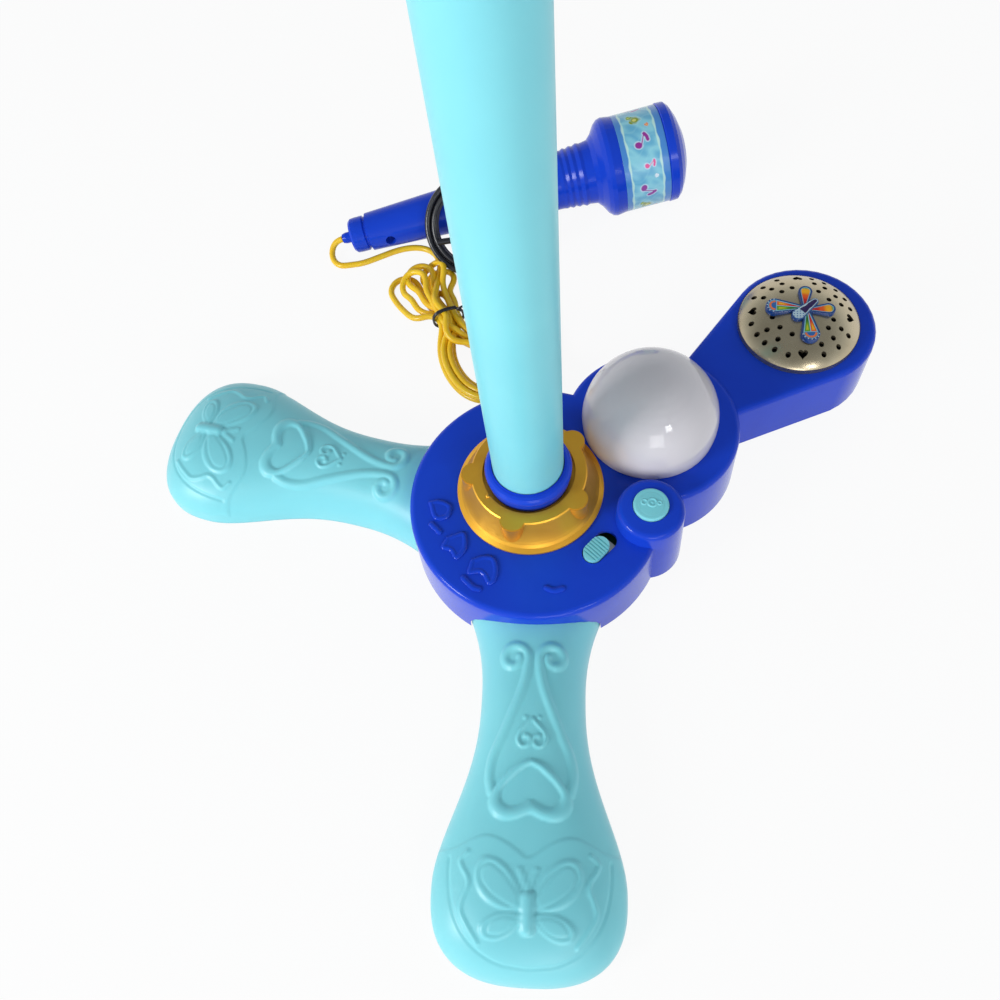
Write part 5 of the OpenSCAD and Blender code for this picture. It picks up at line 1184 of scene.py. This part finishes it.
# the room: white walls round about, and a darker ceiling
where = node(tree, "TexCoord")
parts_of = node(tree, "SeparateXYZ")
dim = node(tree, "MapRange", {"From Min": 0.12, "From Max": 0.85, "To Min": 1.0, "To Max": 0.3},
           interpolation_type="SMOOTHSTEP")
room = tree.nodes["Background"]
room.inputs["Color"].default_value = (0.9, 0.96, 1, 1)
white = node(tree, "Background", {"Color": (1, 1, 1, 1), "Strength": 1.0})
plain = node(tree, "Math", operation="MULTIPLY")
low = node(tree, "MapRange", {"From Min": 0.1, "From Max": 0.45, "To Min": 1.0, "To Max": 0.0})
camera_only = node(tree, "LightPath")
share = node(tree, "Math", operation="MAXIMUM")
mix = node(tree, "MixShader")
for a, b in ((where.outputs["Generated"], parts_of.inputs[0]), (parts_of.outputs["Z"], dim.inputs["Value"]),
             (dim.outputs["Result"], room.inputs["Strength"]), (parts_of.outputs["Z"], low.inputs["Value"]),
             (low.outputs["Result"], plain.inputs[0]), (seen_plainly(tree), plain.inputs[1]),
             (plain.outputs[0], share.inputs[0]), (camera_only.outputs["Is Camera Ray"], share.inputs[1]),
             (share.outputs[0], mix.inputs[0]), (room.outputs[0], mix.inputs[1]),
             (white.outputs[0], mix.inputs[2]),
             (mix.outputs[0], tree.nodes["World Output"].inputs["Surface"])):
    tree.links.new(a, b)


def lamp(name, at, aim, size, energy):
    """A soft square lamp that looks at a point, in metres and watts."""
    light = bpy.data.lights.new(name, "AREA")
    light.energy = energy
    light.size = size
    held = bpy.data.objects.new(name, light)
    held.location = at
    held.rotation_euler = (Vector(aim) - Vector(at)).to_track_quat("-Z", "Y").to_euler()
    scene.collection.objects.link(held)


lamp("window", (-1.15, -0.75, 0.62), (0, 0, 0.1), 0.45, 12.5)
lamp("door", (0.75, -1.15, 0.9), (0.05, 0, 0.05), 0.3, 3)
lamp("front", (0.25, -1.35, 0.4), (0.1, 0, 0.03), 0.55, 3.2)

# ---------------------------------------------------------------- image points
bpy.context.view_layer.update()
seen = bpy.context.evaluated_depsgraph_get()


def finished(piece):
    """A piece's finished vertices, in metres."""
    made = piece.evaluated_get(seen)
    mesh = made.to_mesh()
    v = np.empty(len(mesh.vertices) * 3)
    mesh.vertices.foreach_get("co", v)
    made.to_mesh_clear()
    turn = np.array(piece.matrix_world)
    return v.reshape(-1, 3) @ turn[:3, :3].T + turn[:3, 3]


def shows(point):
    """Whether the camera sees a point: nothing stands more than a millimetre before it."""
    start = Vector(axes[:3, 3])
    way = Vector(point) - start
    far = way.length
    hit, at, *_ = scene.ray_cast(seen, start, way.normalized())
    return not hit or (at - start).length > far - 1.0 * MM


def edge_of(pieces, side):
    """The image x or y of the outermost finished vertex that shows, on one side of some pieces."""
    v = np.vstack([finished(piece) for piece in pieces])
    at = to_image(v)
    k, sign = {"left": (0, 1), "right": (0, -1), "top": (1, 1), "bottom": (1, -1)}[side]
    inside = np.flatnonzero((at > -1).all(axis=1) & (at < W + 1).all(axis=1))
    for n in inside[np.argsort(sign * at[inside, k])][:4000]:
        if shows(v[n]):
            return float(at[n, k])
    return None


def ray_to(x, y, pieces):
    """Where the photograph's place (x, y) lies on some pieces, as finished and placed: the ray's meeting with
    their faces, or the vertex nearest the ray where it misses them."""
    side = max(W, H)
    way = np.array([x - W / 2 + SHIFT_X * side, H / 2 - y + SHIFT_Y * side, -side * LENS / SENSOR])
    way = axes[:3, :3] @ (way / np.linalg.norm(way))
    best = None
    for piece in pieces:
        made = piece.evaluated_get(seen)
        tree = BVHTree.FromObject(made, seen)
        at, _, _, far = tree.ray_cast(Vector(axes[:3, 3]), Vector(way))
        if at is not None and (best is None or far < best[0]):
            best = (far, np.array(at))
    if best is None:
        v = np.vstack([finished(piece) for piece in pieces])
        off = v - axes[:3, 3]
        best = (0, v[np.argmin(np.linalg.norm(off - (off @ way)[:, None] * way, axis=1))])
    return best[1]


# the lock nut's moulding nib, set on its flank where the photograph shows it
NIB_PLACE = (488, 496)
nib_at = ray_to(*NIB_PLACE, [nodes["lock_nut"]]) / MM
nib_profile = rounded_line([(0.02, 0.75), (0.75, 0.6), (1.1, 0.0), (1.2, -1.2)], 0.4)
nib_v, nib_f = turned(nib_profile, sides=28)
nib = shape_piece("nut_nib", nib_v + nib_at, nib_f, "locking_nut", "gold", merge=0.03)
nib.data.materials.append(FINISHES["gold"])

IMAGE_POINTS = {
    "left foot, outermost": ("left", [feet[1]], 168),
    "front foot, left side": ("left", [feet[0]], 432),
    "front foot, right side": ("right", [feet[0]], 629.5),
    "front foot, tip": ("bottom", [feet[0]], 989),
    "arm, outermost": ("right", [hub_skin], 875),
    "dome": ("middle", [dome_skin], (651, 413)),
    "grille": ("middle", [grille], (798, 324)),
    "button": ("middle", [nodes["play_button"]], (651, 503)),
    "switch": ("middle", [nodes["power_switch"]], (596, 549)),
    "butterfly": ("middle", [badge], (801, 313)),
    "microphone, nose": ("right", [nodes["mic_front_shell"], nodes["mic_back_shell"]], 686),
    "microphone, tail stub": ("left", [nodes["mic_relief"]], 344),
    "lock nut's nib": ("middle", [nib], NIB_PLACE),
}
bpy.context.view_layer.update()
seen = bpy.context.evaluated_depsgraph_get()
for label, (side, pieces, place) in IMAGE_POINTS.items():
    if side == "middle":
        ends = [edge_of(pieces, s) for s in ("left", "right", "top", "bottom")]
        found = None if None in ends else ((ends[0] + ends[1]) / 2, (ends[2] + ends[3]) / 2)
    else:
        found = edge_of(pieces, side)
